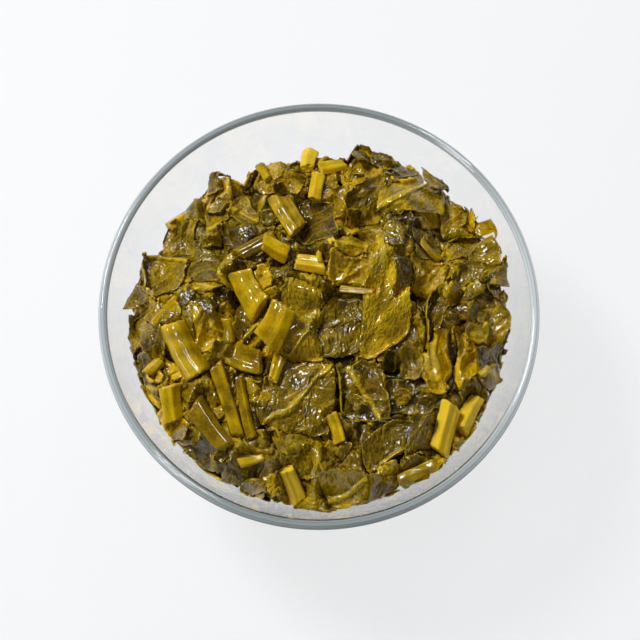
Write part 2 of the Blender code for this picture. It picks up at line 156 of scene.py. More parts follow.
# Each kind of bit draws its own random numbers, so that a change to one kind leaves the others alone.
FILL, ON_GLASS, LARGE, SLANT, SCRAP, CHIP, CORE, FORM, SMALL_STALK, TIP, CRUMB = range(1, 12)


def draws(*key):
    """The random numbers of a kind of bit, or of one bit of that kind."""
    return np.random.default_rng((SEED, *key))


def wall_point(share, outward):
    """(radius, height) on the wall at a share of the way from foot to rim, moved along the wall's normal."""
    radius = FOOT_RADIUS + (RIM_RADIUS - FOOT_RADIUS) * share
    rise = WALL_TOP * share**WALL_POWER
    along = np.array([RIM_RADIUS - FOOT_RADIUS, WALL_TOP * WALL_POWER * share ** (WALL_POWER - 1)])
    along = along / np.linalg.norm(along)
    return radius + along[1] * outward, rise - along[0] * outward


def glass_thickness(share):
    """How thick the glass is at a share of the way from foot to rim."""
    return FOOT_THICKNESS + (RIM_THICKNESS - FOOT_THICKNESS) * share


def meridian(inward, count=160):
    """Points of the inside of the bowl, moved inward, from the edge of its floor to the rim."""
    return np.array([wall_point(s, -glass_thickness(s) - inward) for s in np.linspace(0, 1, count)])


INSIDE = meridian(0)


def inner_radius(height):
    """How far the inside of the wall is from the axis at a height."""
    return np.interp(height, INSIDE[:, 1], INSIDE[:, 0])


def crown(radius):
    """Height of the heap at a distance from the middle."""
    fall = np.clip(1 - (np.asarray(radius) / HEAP_RADIUS) ** 2, 0, 1)
    return EDGE_HEIGHT + (CROWN_HEIGHT - EDGE_HEIGHT) * fall**CROWN_POWER


def core_top(radius):
    """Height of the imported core, deeper under the crown in the middle than at the edge."""
    share = np.clip(np.asarray(radius) / HEAP_RADIUS, 0, 1) ** 2
    return crown(radius) - CORE_DEPTH + (CORE_DEPTH - CORE_EDGE_DEPTH) * share


# Degrees round the axis from X, and how far the heap reaches there in mm. 90 leaves it free up to the glass.
HEAP_OUTLINE = [
    (0, 90), (72, 84), (77, 80), (80, 70.5), (86, 69.5), (92, 72), (97, 70), (105, 69), (112, 69), (116, 67),
    (119, 64), (122, 71), (126, 77), (130, 74), (137, 72), (147, 74), (155, 73), (159, 79), (164, 79),
    (170, 76.5), (178, 84), (190, 90), (360, 90),
]


def outline(x, y):
    """How far from the axis the heap reaches towards x, y: less at the back left, where it is ragged."""
    degrees = np.degrees(np.arctan2(y, x)) % 360
    return np.interp(degrees, *zip(*HEAP_OUTLINE)) * MM


def placed(x, y):
    """The place on the heap of a point that is seen at x, y in mm in the plane of the rim."""
    seen = np.array([x, y]) * MM
    place = seen
    for _ in range(3):
        depth = WALL_TOP - crown(np.linalg.norm(place))
        place = seen * (1 + depth / SIGHT_DISTANCE) + np.array([0, depth * (1 / math.tan(SIGHT_ELEVATION))])
    return place * min(1, MOST_RADIUS / np.linalg.norm(place))


# %% [markdown]
# ## Laying bits of leaf on each other
# A real heap settles: each bit lies on those below it. A map of the heap's height, one number for each
# square millimetre, does the same. A bit's surface is the quadric that fits the map under it best, leaned,
# curled and creased, and lifted until nine tenths of it is clear. Then the map takes its height.


# %% The map of heights, and the rule that lays a bit
def cell_of(points):
    """The cells of the map in which plan points lie, as an index."""
    index = np.rint(points / CELL).astype(int) + REACH
    return tuple(np.clip(index, 0, CELLS - 1).T)


def bilinear(corners, u, v):
    """Points over a quadrilateral: each corner counts by how near it is in u and v."""
    shares = np.stack([(1 - u) * (1 - v), u * (1 - v), u * v, (1 - u) * v], axis=-1)
    return shares @ np.asarray(corners)


def unit_grid(count):
    """Two square grids of numbers from 0 to 1, one for each direction."""
    return np.meshgrid(np.linspace(0, 1, count), np.linspace(0, 1, count), indexing="ij")


def patch(corners, count):
    """A grid of plan points over a quadrilateral, as one list."""
    return bilinear(corners, *unit_grid(count)).reshape(-1, 2)


BOW_UNIT = 10


def bowed(points, middle):
    """The six terms of a quadric for each point, with x and y from the middle in centimetres."""
    x, y = (points - middle).T / (BOW_UNIT * MM)
    return np.stack([np.ones_like(x), x, y, x * x, x * y, y * y], axis=-1)


def crumple(rng, height):
    """A creased field over plan points: three folded waves of random heading, length and phase."""
    heading = rng.uniform(0, math.pi, 3)
    number = TAU / (rng.uniform(16, 30, 3) * MM)
    phase = rng.uniform(0, TAU, 3)

    def field(points):
        along = points[:, :1] * np.cos(heading) + points[:, 1:2] * np.sin(heading)
        return height * (np.abs(np.sin(along * number / 2 + phase)) - 0.64).sum(axis=1)

    return field


def laid_leaf(ground, corners, lean, rng, creasing=CRUMPLE):
    """The surface on which a bit of leaf lies, as a function of plan points."""
    samples = patch(corners, 26)
    middle = samples.mean(axis=0)
    below = ground[cell_of(samples)]
    terms = bowed(samples, middle)
    shape = np.linalg.lstsq(terms, below, rcond=None)[0]
    shape[1:3] += np.array(lean) * BOW_UNIT * MM
    shape[3:6] = shape[3:6] * 0.7 + rng.uniform(-1, 0.7, 3) * MM
    creases = crumple(rng, creasing)
    top = terms @ shape + creases(samples)
    rise = np.percentile(below - top, 90) + LEAF_THICKNESS
    np.maximum.at(ground, cell_of(samples), top + rise)
    return lambda points: bowed(points, middle) @ shape + creases(points) + rise


def random_corners(rng, middle, size):
    """A four-sided bit of roughly the given size about a point, turned and cut at random."""
    turn = rng.uniform(0, TAU)
    angles = turn + math.pi / 4 + np.arange(4) * math.pi / 2 + rng.uniform(-0.25, 0.25, 4)
    reach = size * rng.uniform(0.55, 0.8, 4)
    return np.asarray(middle) + np.stack([np.cos(angles), np.sin(angles)], axis=1) * reach[:, None]


def drawn_in(points, most):
    """Points moved towards the axis where they are farther from it than most."""
    radius = np.hypot(points[..., 0], points[..., 1])
    share = np.minimum(1, most / np.maximum(radius, CELL))
    return points * np.stack([share, share, np.ones_like(share)], axis=-1)


def kept_in_bowl(points):
    """Points drawn in where they would be nearer the glass than the gap, or past the heap's outline."""
    most = inner_radius(points[..., 2] - LEAF_THICKNESS) - GLASS_GAP - LEAF_THICKNESS * 0.6
    return drawn_in(points, np.minimum(most, outline(points[..., 0], points[..., 1])))


steps = (np.arange(CELLS) - REACH) * CELL
FROM_AXIS = np.hypot(*np.meshgrid(steps, steps, indexing="ij"))
ground = core_top(FROM_AXIS)
print("map of heights:", ground.shape, "crown of the core at", round(float(ground.max()) / MM, 1), "mm")

# %% [markdown]
# ## The surface of a bit of cooked leaf
# A collard leaf is a thick blade with a pale midrib and side veins that leave it at an angle. Cooking makes
# the blade between the veins pucker and fold, and chopping leaves straight cut edges beside torn ones. The
# grid of a bit is first bent in plan (ragged edges), then raised (puckers, veins, folds, curled edges), and
# one side may roll over.


# %% Relief of a leaf
def ripple(a, b, rng, length, count=7):
    """Smooth noise about as large as 1: a sum of sines of random heading and phase, about one length long."""
    heading = rng.uniform(0, TAU, count)
    size = length * rng.uniform(0.7, 1.4, count)
    phase = rng.uniform(0, TAU, count)
    along = a[..., None] * np.cos(heading) + b[..., None] * np.sin(heading)
    return np.sin(along * TAU / size + phase).sum(axis=-1) / math.sqrt(count)


def rolled(share, length, radius, turn):
    """The new share and the rise of a side at share = 1 that rolls over: first flat, then round a circle."""
    flat = length - radius
    along = share * (flat + radius * turn)
    angle = np.maximum(0, along - flat) / radius
    return (np.minimum(along, flat) + radius * np.sin(angle)) / length, radius * (1 - np.cos(angle))


def veins(a, b, rib, spacing=7 * MM, slant=0.9):
    """How much of a point is vein, from 0 to 1, and how much of it is midrib.

    rib is a point on the midrib, its heading and its width. Side veins leave it every spacing at a slant.
    """
    (x, y), heading, width = rib
    along = (a - x) * math.cos(heading) + (b - y) * math.sin(heading)
    off = -(a - x) * math.sin(heading) + (b - y) * math.cos(heading)
    off = off + 0.6 * MM * np.sin(along / (6 * MM))
    middle = np.exp(-((off / (width * 0.5)) ** 4))
    way = (along - np.abs(off) * slant + np.where(off > 0, spacing / 2, 0)) / spacing
    way = way + 0.12 * np.sin(off / (3 * MM) + along / (5 * MM))
    gap = np.abs(way - np.rint(way)) * spacing
    side = np.exp(-((gap / (0.32 * MM)) ** 2))
    return np.maximum(middle, side * 0.4), middle


def blisters(a, b, rng, length):
    """Rounded hills with sharp valleys between them, from 0 to about 2: the size of a warped ripple."""
    warp = 0.3 * length
    x = a + warp * ripple(a, b, rng, 2 * length, 3)
    y = b + warp * ripple(a, b, rng, 2 * length, 3)
    return np.abs(ripple(x, y, rng, 2 * length, 5))


def folds(a, b, wide, deep, rng, area=45):
    """Fold lines of every size, one for each so many square millimetres of the bit.

    Along a fold the blade rises or sinks to a ridge, by half its height on the line, falls away from it at a
    slope, and the fold fades out towards its ends.
    """
    total = np.zeros_like(a)
    for _ in range(3 + int(wide * deep / (area * MM * MM))):
        heading = rng.uniform(0, math.pi)
        x, y = rng.uniform(0, 1) * wide, rng.uniform(0, 1) * deep
        height, slope, half = rng.uniform(0.5, 2.2) * MM, rng.uniform(0.5, 1.0), rng.uniform(4, 14) * MM
        along = (a - x) * math.cos(heading) + (b - y) * math.sin(heading)
        off = (a - x) * math.sin(heading) - (b - y) * math.cos(heading)
        off = off + 0.7 * MM * np.sin(along / (2.6 * MM) + x / MM)
        ridge = 0.5 - np.tanh(np.hypot(off, 0.2 * MM) * slope / height)
        total += rng.choice((-0.7, 1.0)) * height * ridge * np.exp(-((along / half) ** 2))
    return total


# The sides of a bit: the axis of its grid that leads to each, and whether it lies where that axis starts.
SIDES = {"left": (0, True), "right": (0, False), "front": (1, True), "back": (1, False)}
EDGE_BAND, CUT_BAND = 4 * MM, 0.3 * MM


def leaf_sheet(corners, lay, rng, count, tone, rib=None, roll=None, rough=1.0, torn=0.35, raised=0.0):
    """A closed thin sheet for a bit of leaf: its points, triangles and looks.

    The upper face is bilinear over the corners in plan, with rounded corners and a wavering outline. Its
    lift is the sum of puckers, veins, folds and a curl near the edge, and lay(plan, lift) puts it in space.
    The lower face is the upper one moved along its normals by the blade's thickness, and a rim of faces
    joins the two.
    """
    corners = np.asarray(corners)
    wide = (np.linalg.norm(corners[1] - corners[0]) + np.linalg.norm(corners[2] - corners[3])) / 2
    deep = (np.linalg.norm(corners[3] - corners[0]) + np.linalg.norm(corners[2] - corners[1])) / 2
    shares = list(unit_grid(count))
    a, b = shares[0] * wide, shares[1] * deep
    edge = np.minimum(np.minimum(a, wide - a), np.minimum(b, deep - b))
    lift = np.full_like(a, raised * MM)
    if roll is not None:
        side, radius, turn = roll
        axis, flipped = SIDES[side]
        share = 1 - shares[axis] if flipped else shares[axis]
        share, rise = rolled(share, (wide, deep)[axis], radius * MM, turn)
        shares[axis] = 1 - share if flipped else share
        lift += rise
    u, v = 2 * shares[0] - 1, 2 * shares[1] - 1
    blunt = rng.uniform(0, 0.32, 4)
    blunt = np.where(u < 0, np.where(v < 0, blunt[0], blunt[3]), np.where(v < 0, blunt[1], blunt[2]))
    pull = 1 - blunt * np.abs(u * v) ** 3
    plan = bilinear(corners, 0.5 + u * pull / 2, 0.5 + v * pull / 2)
    near = np.clip(1 - edge / EDGE_BAND, 0, 1) ** 2
    for axis in (0, 1):
        plan[..., axis] += 0.8 * MM * ripple(a, b, rng, 15 * MM, 4)
        teeth = 0.6 * ripple(a, b, rng, 5 * MM, 4) + 0.4 * ripple(a, b, rng, 2.2 * MM, 4)
        plan[..., axis] += torn * MM * near * teeth
    if rib is None:
        rib = ((rng.uniform(-2, 3) * wide, rng.uniform(-2, 3) * deep), rng.uniform(0, TAU), 2 * MM)
    vein, middle = veins(a, b, rib)
    facing = rng.choice((-1.0, 1.0))
    hills = 0.55 * blisters(a, b, rng, 6 * MM) + 0.3 * blisters(a, b, rng, 3 * MM)
    lift += rough * MM * facing * (hills - 0.5) * (1 - 0.8 * middle)
    lift += MM * middle + 0.22 * MM * facing * -vein
    lift += rough * folds(a, b, wide, deep, rng)
    lift += 1.8 * rough * MM * near * (ripple(a, b, rng, 12 * MM, 3) + 0.2)
    upper = lay(plan.reshape(-1, 2), lift.ravel()).reshape(count, count, 3)
    normal = np.cross(np.gradient(upper, axis=0), np.gradient(upper, axis=1))
    normal /= np.maximum(np.linalg.norm(normal, axis=2, keepdims=True), 1e-12)
    thickness = (0.5 + 0.9 * middle) * MM
    lower = upper - normal * thickness[..., None]
    points = np.concatenate([upper.reshape(-1, 3), lower.reshape(-1, 3)])
    faces = grid_faces(count, count)
    ring = np.arange(count * count).reshape(count, count)
    ring = np.concatenate([ring[:-1, 0], ring[-1, :-1], ring[:0:-1, -1], ring[0, :0:-1]])
    faces = np.concatenate([faces, faces[:, ::-1] + count**2, strip_faces(ring, ring + count**2)])
    cut = np.exp(-((edge / CUT_BAND) ** 2))
    # Painted shade and light: the tone is darker in the hollows of the relief and lighter on its puckers, and
    # a little lighter in the band near the edge.
    shade = tone + 0.08 * ripple(a, b, rng, 11 * MM, 4) + 0.03 * near + 0.1 * (hills - 0.5) * facing
    shade = np.clip(shade, 0, 1)
    look = np.stack([shade, vein, cut, np.full_like(a, rng.uniform())], axis=-1).reshape(-1, 4)
    under = look + np.array([0.12, 0, 0, 0])
    flat = np.stack([a / MM, b / MM, np.zeros_like(a)], axis=-1).reshape(-1, 3) + rng.uniform(0, 500, 3)
    return points, faces, np.concatenate([look, np.clip(under, 0, 1)]), np.concatenate([flat, flat + 7])


# %% [markdown]
# ## Finishes
# Cooked collard is olive, from nearly black to yellow where the blade is thin or the stalk shows, and it is
# wet. So the leaf's colour is a ramp over its tone plus two sizes of mottling, and the veins are paler. The
# tone is painted darker in the hollows of a bit, as shade, and lighter on its puckers, as light. Cut edges
# are paler, partly as cut tissue and partly as painted light caught in the edge. A clear coat stands for the
# film of water, and its bumps are long wrinkles, which break the lamps' light into short lines as on the real
# leaves.


# %% Node helpers and the finishes
class Nodes:
    """A short way to lay out a material's nodes. A source is a number, a colour or another node's output."""

    def __init__(self, name):
        self.material = bpy.data.materials.new(name)
        self.material.use_nodes = True
        self.tree = self.material.node_tree
        self.shader = self.tree.nodes["Principled BSDF"]

    def add(self, kind, links=(), **values):
        node = self.tree.nodes.new(kind)
        for key, value in values.items():
            setattr(node, key, value)
        for socket, source in dict(links).items():
            if isinstance(source, (int, float, tuple)):
                node.inputs[socket].default_value = source
            else:
                self.tree.links.new(source, node.inputs[socket])
        return node

    def noise(self, where, scale, detail=3, roughness=0.6):
        found = self.add("ShaderNodeTexNoise", {"Vector": where})
        found.inputs["Scale"].default_value = scale
        found.inputs["Detail"].default_value = detail
        found.inputs["Roughness"].default_value = roughness
        return found.outputs["Fac"]

    def math(self, operation, a, b=0.0, c=0.0, clamp=False):
        made = self.add("ShaderNodeMath", {0: a, 1: b, 2: c}, operation=operation, use_clamp=clamp)
        return made.outputs[0]

    def centred(self, value, strength, middle=0.5, clamp=False):
        """A noise with its middle moved to 0, times a strength."""
        return self.math("MULTIPLY", self.math("SUBTRACT", value, middle), strength, clamp=clamp)

    def vector(self, operation, links):
        return self.add("ShaderNodeVectorMath", links, operation=operation).outputs[0]

    def mix(self, share, a, b):
        made = self.add("ShaderNodeMix", data_type="RGBA")
        for socket, source in ((0, share), (6, a), (7, b)):
            if isinstance(source, (int, float)):
                made.inputs[socket].default_value = source
            elif isinstance(source, tuple):
                made.inputs[socket].default_value = (*source, 1)
            else:
                self.tree.links.new(source, made.inputs[socket])
        return made.outputs[2]

    def ramp(self, share, stops):
        made = self.add("ShaderNodeValToRGB", {"Fac": share})
        ramp = made.color_ramp
        while len(ramp.elements) < len(stops):
            ramp.elements.new(0.5)
        for element, (place, colour) in zip(ramp.elements, stops):
            element.position, element.color = place, (*colour, 1)
        return made.outputs["Color"]

    def set(self, **values):
        for socket, value in values.items():
            self.shader.inputs[socket.replace("_", " ")].default_value = value

    def link(self, socket, source):
        self.tree.links.new(source, self.shader.inputs[socket])


def look_of(nodes):
    """The four numbers of the look attribute, the flat attribute, and Object coordinates."""
    stored = nodes.add("ShaderNodeAttribute", attribute_name="look")
    parts = nodes.add("ShaderNodeSeparateColor", {"Color": stored.outputs["Color"]})
    flat = nodes.add("ShaderNodeAttribute", attribute_name="flat").outputs["Vector"]
    where = nodes.add("ShaderNodeTexCoord").outputs["Object"]
    return [parts.outputs[i] for i in range(3)] + [stored.outputs["Alpha"], flat, where]


def grain(nodes, flat, along, across):
    """The flat coordinates squeezed by a number of waves a millimetre in each direction."""
    made = nodes.add("ShaderNodeMapping", {"Vector": flat})
    made.inputs["Scale"].default_value = (along, across, 1)
    return made.outputs["Vector"]


def bumped(nodes, height, distance, under=None, strength=1.0):
    """The normal of a surface raised by height times distance, over the normal under it."""
    made = nodes.add("ShaderNodeBump", {"Height": height, "Strength": strength, "Distance": distance})
    if under is not None:
        nodes.tree.links.new(under, made.inputs["Normal"])
    return made.outputs["Normal"]


def warped(nodes, flat, waves, amount):
    """The flat coordinates pushed about by noise, so that a pattern on them isn't regular."""
    noise = nodes.add("ShaderNodeTexNoise", {"Vector": flat, "Scale": waves, "Detail": 2.0})
    push = nodes.vector("SUBTRACT", {0: noise.outputs["Color"], 1: (0.5, 0.5, 0.5)})
    push = nodes.vector("SCALE", {0: push, "Scale": amount})
    return nodes.vector("ADD", {0: flat, 1: push})


def cooked_leaf():
    """Tone, mottling and a net of fine veins set the colour. Dark bits are the most wrinkled."""
    n = Nodes("wet cooked leaf")
    tone, vein, cut, chance, flat, where = look_of(n)
    broad, fine = n.noise(where, 130, 3), n.noise(where, 950, 2, 0.7)
    mottled = n.math("ADD", tone, n.centred(broad, 0.35))
    mottled = n.math("ADD", mottled, n.centred(fine, 0.48))
    uneven = warped(n, flat, 0.25, 2.4)
    cells = n.add("ShaderNodeTexVoronoi", {"Vector": uneven, "Scale": 0.52}, feature="DISTANCE_TO_EDGE")
    net = n.math("MULTIPLY", cells.outputs["Distance"], 3.2, clamp=True)
    thread = n.math("SUBTRACT", 1.0, n.math("MULTIPLY", cells.outputs["Distance"], 9.0, clamp=True))
    thread = n.math("MULTIPLY", thread, n.math("MULTIPLY", broad, 0.24))
    mottled = n.math("ADD", mottled, thread, clamp=True)
    green = n.ramp(mottled, [
        (0.0, (0.020, 0.0135, 0.001)), (0.25, (0.082, 0.056, 0.001)), (0.5, (0.24, 0.163, 0.002)),
        (0.75, (0.54, 0.36, 0.004)), (1.0, (0.95, 0.62, 0.010)),
    ])
    brown = n.ramp(mottled, [
        (0.0, (0.026, 0.0145, 0.001)), (0.25, (0.100, 0.058, 0.002)), (0.5, (0.30, 0.175, 0.002)),
        (0.75, (0.64, 0.375, 0.004)), (1.0, (0.95, 0.57, 0.010)),
    ])
    browned = n.math("ADD", n.math("MULTIPLY", chance, 0.5), n.math("MULTIPLY", broad, 0.4))
    colour = n.mix(browned, green, brown)
    colour = n.mix(n.math("MULTIPLY", vein, 0.65), colour, (0.85, 0.58, 0.010))
    # Cut edges are paler: partly the colour of cut tissue, partly a painted highlight of light caught in the
    # edge.
    edge = n.math("MULTIPLY", cut, n.math("MULTIPLY_ADD", chance, 0.6, 0.15))
    colour = n.mix(edge, colour, (0.95, 0.62, 0.020))
    n.link("Base Color", colour)
    n.link("Roughness", n.math("ADD", 0.45, n.math("MULTIPLY", fine, 0.2)))
    darkness = n.math("MULTIPLY_ADD", tone, -1.6, 1.6, clamp=True)
    crinkled = n.math("MULTIPLY", n.centred(n.noise(where, 75, 1), 5.0, 0.40, clamp=True), darkness)
    crinkle = n.centred(n.noise(grain(n, uneven, 1.15, 0.5), 1.0, 0), crinkled)
    wrinkle = n.noise(grain(n, uneven, 0.42, 0.17), 1.0, 1, 0.5)
    wrinkle = n.centred(wrinkle, n.math("MULTIPLY_ADD", darkness, 0.7, 0.3))
    skin = bumped(n, crinkle, 0.7 * MM, bumped(n, net, 0.25 * MM))
    n.link("Normal", bumped(n, wrinkle, 1.2 * MM, skin))
    film = bumped(n, crinkle, 0.5 * MM, bumped(n, n.noise(uneven, 0.4, 0), 0.45 * MM))
    n.link("Coat Normal", bumped(n, wrinkle, 0.5 * MM, film))
    n.set(Coat_Weight=1.0, Coat_Roughness=0.02, Coat_IOR=1.45, Specular_IOR_Level=0.0)
    return n.material


def cooked_stalk():
    """Yellow to olive by tone, with fibres along the bit, and a little light passes under the skin."""
    n = Nodes("wet cooked stalk")
    tone, _, cut, _, flat, where = look_of(n)
    broad, fine = n.noise(where, 140, 3), n.noise(where, 1100, 2)
    fibre = n.noise(grain(n, flat, 0.12, 1.0), 1.0, 2, 0.6)
    mottled = n.math("ADD", tone, n.centred(broad, 0.6))
    mottled = n.math("ADD", mottled, n.centred(fibre, 0.3))
    mottled = n.math("ADD", mottled, n.centred(fine, 0.5), clamp=True)
    skin = n.ramp(mottled, [
        (0.0, (0.16, 0.095, 0.001)), (0.3, (0.42, 0.262, 0.001)), (0.6, (0.72, 0.465, 0.004)),
        (1.0, (0.99, 0.66, 0.03)),
    ])
    colour = n.mix(n.math("MULTIPLY", cut, 0.35), skin, (0.97, 0.70, 0.06))
    n.link("Base Color", colour)
    n.link("Roughness", n.math("ADD", 0.35, n.math("MULTIPLY", fine, 0.25)))
    n.link("Normal", bumped(n, fine, 0.10 * MM, bumped(n, fibre, 0.07 * MM)))
    film = bumped(n, n.noise(grain(n, flat, 0.1, 0.4), 1.0, 0), 0.5 * MM)
    n.link("Coat Normal", bumped(n, fibre, 0.05 * MM, film))
    n.set(Coat_Weight=0.7, Coat_Roughness=0.06, Coat_IOR=1.4, Specular_IOR_Level=0.0)
    n.set(Subsurface_Weight=0.25, Subsurface_Scale=0.001, Subsurface_Radius=(1.0, 0.7, 0.12))
    return n.material


def packed_leaf():
    """Dull and nearly black, as no light reaches the middle of the heap."""
    n = Nodes("packed leaf in shade")
    where = n.add("ShaderNodeTexCoord").outputs["Object"]
    # Painted shade: the leaf of the core is coloured nearly black because light doesn't reach it.
    n.link("Base Color", n.ramp(n.noise(where, 150, 4), [
        (0.3, (0.010, 0.007, 0.001)), (0.55, (0.05, 0.034, 0.002)), (0.8, (0.20, 0.14, 0.003)),
    ]))
    n.link("Normal", bumped(n, n.noise(where, 300, 3), 1 * MM, strength=0.8))
    n.set(Roughness=0.7, Specular_IOR_Level=0.0)
    return n.material


def clear_glass():
    """Smooth and almost colourless, with the index of refraction of plain glass."""
    n = Nodes("clear glass")
    n.set(Base_Color=(0.985, 0.993, 0.993, 1), Roughness=0.0, Transmission_Weight=1.0, IOR=1.48)
    return n.material


def lip_glass():
    """Light is caught inside the wall at its lip, which looks denser and bluer, with fine lines round it.

    The lines are a ramp over the distance from the axis, painted light and shade rather than a colour of the
    glass. The front and back of the lip are painted darker, as shade, and the two sides paler, as light:
    greyer on the left and palest on the right. A faint painted glow on the sides, most on the right, stands
    for the light that comes out of the lip.
    """
    n = Nodes("lip glass, painted light and shade")
    where = n.add("ShaderNodeTexCoord").outputs["Object"]
    along = n.add("ShaderNodeSeparateXYZ", {"Vector": where})
    x, y = along.outputs["X"], along.outputs["Y"]
    radius = n.math("SQRT", n.math("ADD", n.math("MULTIPLY", x, x), n.math("MULTIPLY", y, y)))
    across = n.math("DIVIDE", n.math("SUBTRACT", radius, RIM_RADIUS - RIM_THICKNESS), RIM_THICKNESS)
    pale, dense = (0.86, 0.95, 0.98), (0.34, 0.42, 0.43)
    lines = n.ramp(across, [
        (0.0, dense), (0.14, pale), (0.28, pale), (0.34, dense), (0.40, pale), (0.62, pale), (0.69, dense),
        (0.76, pale), (0.9, pale), (1.0, dense),
    ])
    # Painted light and shade: the lip is paler towards the two sides, palest on the right, and darker towards
    # the front and back.
    side = n.math("POWER", n.math("MULTIPLY", n.math("ABSOLUTE", x), 1 / RIM_RADIUS, clamp=True), 2.5)
    right = n.math("MULTIPLY_ADD", x, 0.5 / RIM_RADIUS, 0.5, clamp=True)
    sides = n.mix(right, n.mix(0.5, lines, (0.50, 0.59, 0.63)), n.mix(0.35, lines, (1.0, 1.0, 1.0)))
    n.link("Base Color", n.mix(side, n.mix(0.6, lines, (0.27, 0.33, 0.33)), sides))
    # A painted glow: the lines glow faintly on the sides, most on the right, as if light came out of the lip.
    n.link("Emission Color", lines)
    n.link("Emission Strength", n.math("MULTIPLY", side, n.math("MULTIPLY_ADD", right, 0.12, 0.10)))
    n.set(Roughness=0.02, Transmission_Weight=0.35, IOR=1.48)
    return n.material


LEAF, STALK, PACKED = cooked_leaf(), cooked_stalk(), packed_leaf()
GLASS, LIP = clear_glass(), lip_glass()
print("finishes:", [m.name for m in (LEAF, STALK, PACKED, GLASS, LIP)])

# %% [markdown]
# ## The glass bowl
# A blown or pressed bowl is a solid of revolution, so its outline is turned about the axis: the floor, the
# inside of the wall, a rounded lip, the outside, and a foot ring that stands on the table.


# %% Turn the bowl
def turned(outline, sides):
    """Points (radius * cos, radius * sin, height) of an outline carried round the axis, and their triangles.

    The outline starts and ends on the axis, where it closes in a pole.
    """
    angle = np.arange(sides) * TAU / sides
    radius, height = outline[1:-1, :1], outline[1:-1, 1:]
    points = np.stack([radius * np.cos(angle), radius * np.sin(angle), height + 0 * angle], axis=-1)
    points = np.concatenate([points.reshape(-1, 3), [[0, 0, outline[0, 1]], [0, 0, outline[-1, 1]]]])
    rows = len(outline) - 2
    ring = np.arange(sides)
    start = fan_faces(rows * sides, ring)
    end = fan_faces(rows * sides + 1, ring + (rows - 1) * sides)[:, ::-1]
    return points, np.concatenate([start, grid_faces(rows, sides, wrap=True), end])


def arc_between(start, end, count):
    """Half a circle from start to end, bulging to the left of the way between them, without its ends."""
    start, end = np.asarray(start), np.asarray(end)
    middle, half = (start + end) / 2, (start - end) / 2
    up = np.array([half[1], -half[0]])
    angle = np.linspace(0, math.pi, count)[1:-1, None]
    return middle + half * np.cos(angle) + up * np.sin(angle)


LIP_DEPTH = 0.2 * MM


def bowl_outline():
    """The bowl's outline from the middle of its floor, up the inside, over the lip and down to the foot."""
    shares = np.linspace(0, 1, 48) ** 0.9
    inside = np.array([wall_point(s, -glass_thickness(s)) for s in shares])
    outside = np.array([wall_point(s, 0) for s in shares])[::-1]
    lip = arc_between(inside[-1], outside[0], 18)
    ring = FOOT_RADIUS - FOOT_RING
    floor = np.column_stack([np.linspace(0, inside[0, 0], 9)[:-1], np.full(8, inside[0, 1])])
    foot = [[ring, 0], [ring - FOOT_RECESS / 2, FOOT_RECESS * 0.7], [ring - FOOT_RECESS, FOOT_RECESS]]
    base = [[ring / 2, FOOT_RECESS], [0, FOOT_RECESS]]
    return np.concatenate([floor, inside, lip, outside, foot, base])


points, faces = turned(bowl_outline(), 160)
bowl = make_piece("clear_glass_bowl", points, faces, None, None, GLASS, "glass", ["glass_bowl"])
bowl.data.materials.append(LIP)
in_lip = points[faces][..., 2].min(axis=1) > WALL_TOP - LIP_DEPTH
bowl.data.polygons.foreach_set("material_index", in_lip.astype(np.int32))
print("bowl:", len(faces), "triangles,", round(2 * float(points[:, 0].max()) / MM, 1), "mm across")

# %% [markdown]
# ## Places on the inside of the glass
# A bit that is pressed on the glass lies on a surface of revolution. So its plan is turned into a way along
# the bowl's meridian and an angle about the axis, and the point there is moved inwards by a gap.

# %% The inside of the bowl as a surface
FLOOR_POINTS, ON_FLOOR, SOFT_STOP = 39, 8 * MM, 4 * MM


def inside_of_bowl():
    """Points from the middle of the floor out and up the wall, their way along, and their inward normals."""
    out = np.linspace(0, INSIDE[0, 0], FLOOR_POINTS + 1)[:-1]
    floor = np.column_stack([out, np.full(FLOOR_POINTS, INSIDE[0, 1])])
    line = np.concatenate([floor, INSIDE])
    step = np.gradient(line, axis=0)
    step /= np.linalg.norm(step, axis=1, keepdims=True)
    way = np.concatenate([[0], np.cumsum(np.linalg.norm(np.diff(line, axis=0), axis=1))])
    return line, way, np.column_stack([-step[:, 1], step[:, 0]])


LINE, WAY, INWARD = inside_of_bowl()


def way_up(height):
    """The way along the meridian at which the wall reaches a height."""
    return np.interp(height, LINE[FLOOR_POINTS:, 1], WAY[FLOOR_POINTS:])


def inwards(way, gap, most=np.inf):
    """(radius, height) at a way along the meridian, a gap in from the glass or from the most radius."""
    radius = np.minimum(np.interp(way, WAY, LINE[:, 0]), most) + gap * np.interp(way, WAY, INWARD[:, 0])
    return radius, np.interp(way, WAY, LINE[:, 1]) + gap * np.interp(way, WAY, INWARD[:, 1])


def on_glass(way, angle, gap):
    """Points at a way along the meridian and an angle, a gap in from the glass."""
    radius, height = inwards(way, gap, outline(np.cos(angle), np.sin(angle)))
    return np.column_stack([radius * np.cos(angle), radius * np.sin(angle), height])


def glass_lay(height, angle, base, rng):
    """The lay of a bit on the glass about a height and an angle: plan x runs round and plan y up the wall."""
    low = height <= ON_FLOOR
    start = rng.uniform(0, 40) * MM if low else way_up(height)
    top = way_up(EDGE_HEIGHT)

    def lay(plan, lift):
        if low:
            x, y = start + plan[:, 1], plan[:, 0]
            way, turn = np.interp(np.hypot(x, y), LINE[:, 0], WAY), np.arctan2(y, x)
        else:
            way = start + plan[:, 1]
            turn = plan[:, 0] / np.interp(way, WAY, LINE[:, 0])
        over = np.maximum(0, way - top + SOFT_STOP)
        way = way - over + SOFT_STOP * np.tanh(over / SOFT_STOP)
        return on_glass(way, angle + turn, np.maximum(GLASS_GAP, base - lift))

    return lay


print("way up the glass from the middle:", round(WAY[-1] / MM, 1), "mm")

# %% [markdown]
# ## The imported middle of the heap
# Nobody sees the leaves inside the heap, only darkness between those on top. One turned body fills the
# middle, painted nearly black as shade, with its surface pushed about by noise, so that a gap between bits
# shows more dark leaf and not a smooth wall.

# %% Turn and rumple the core
CORE_GAP, CORE_MIDDLE = 2.8 * MM, 35 * MM


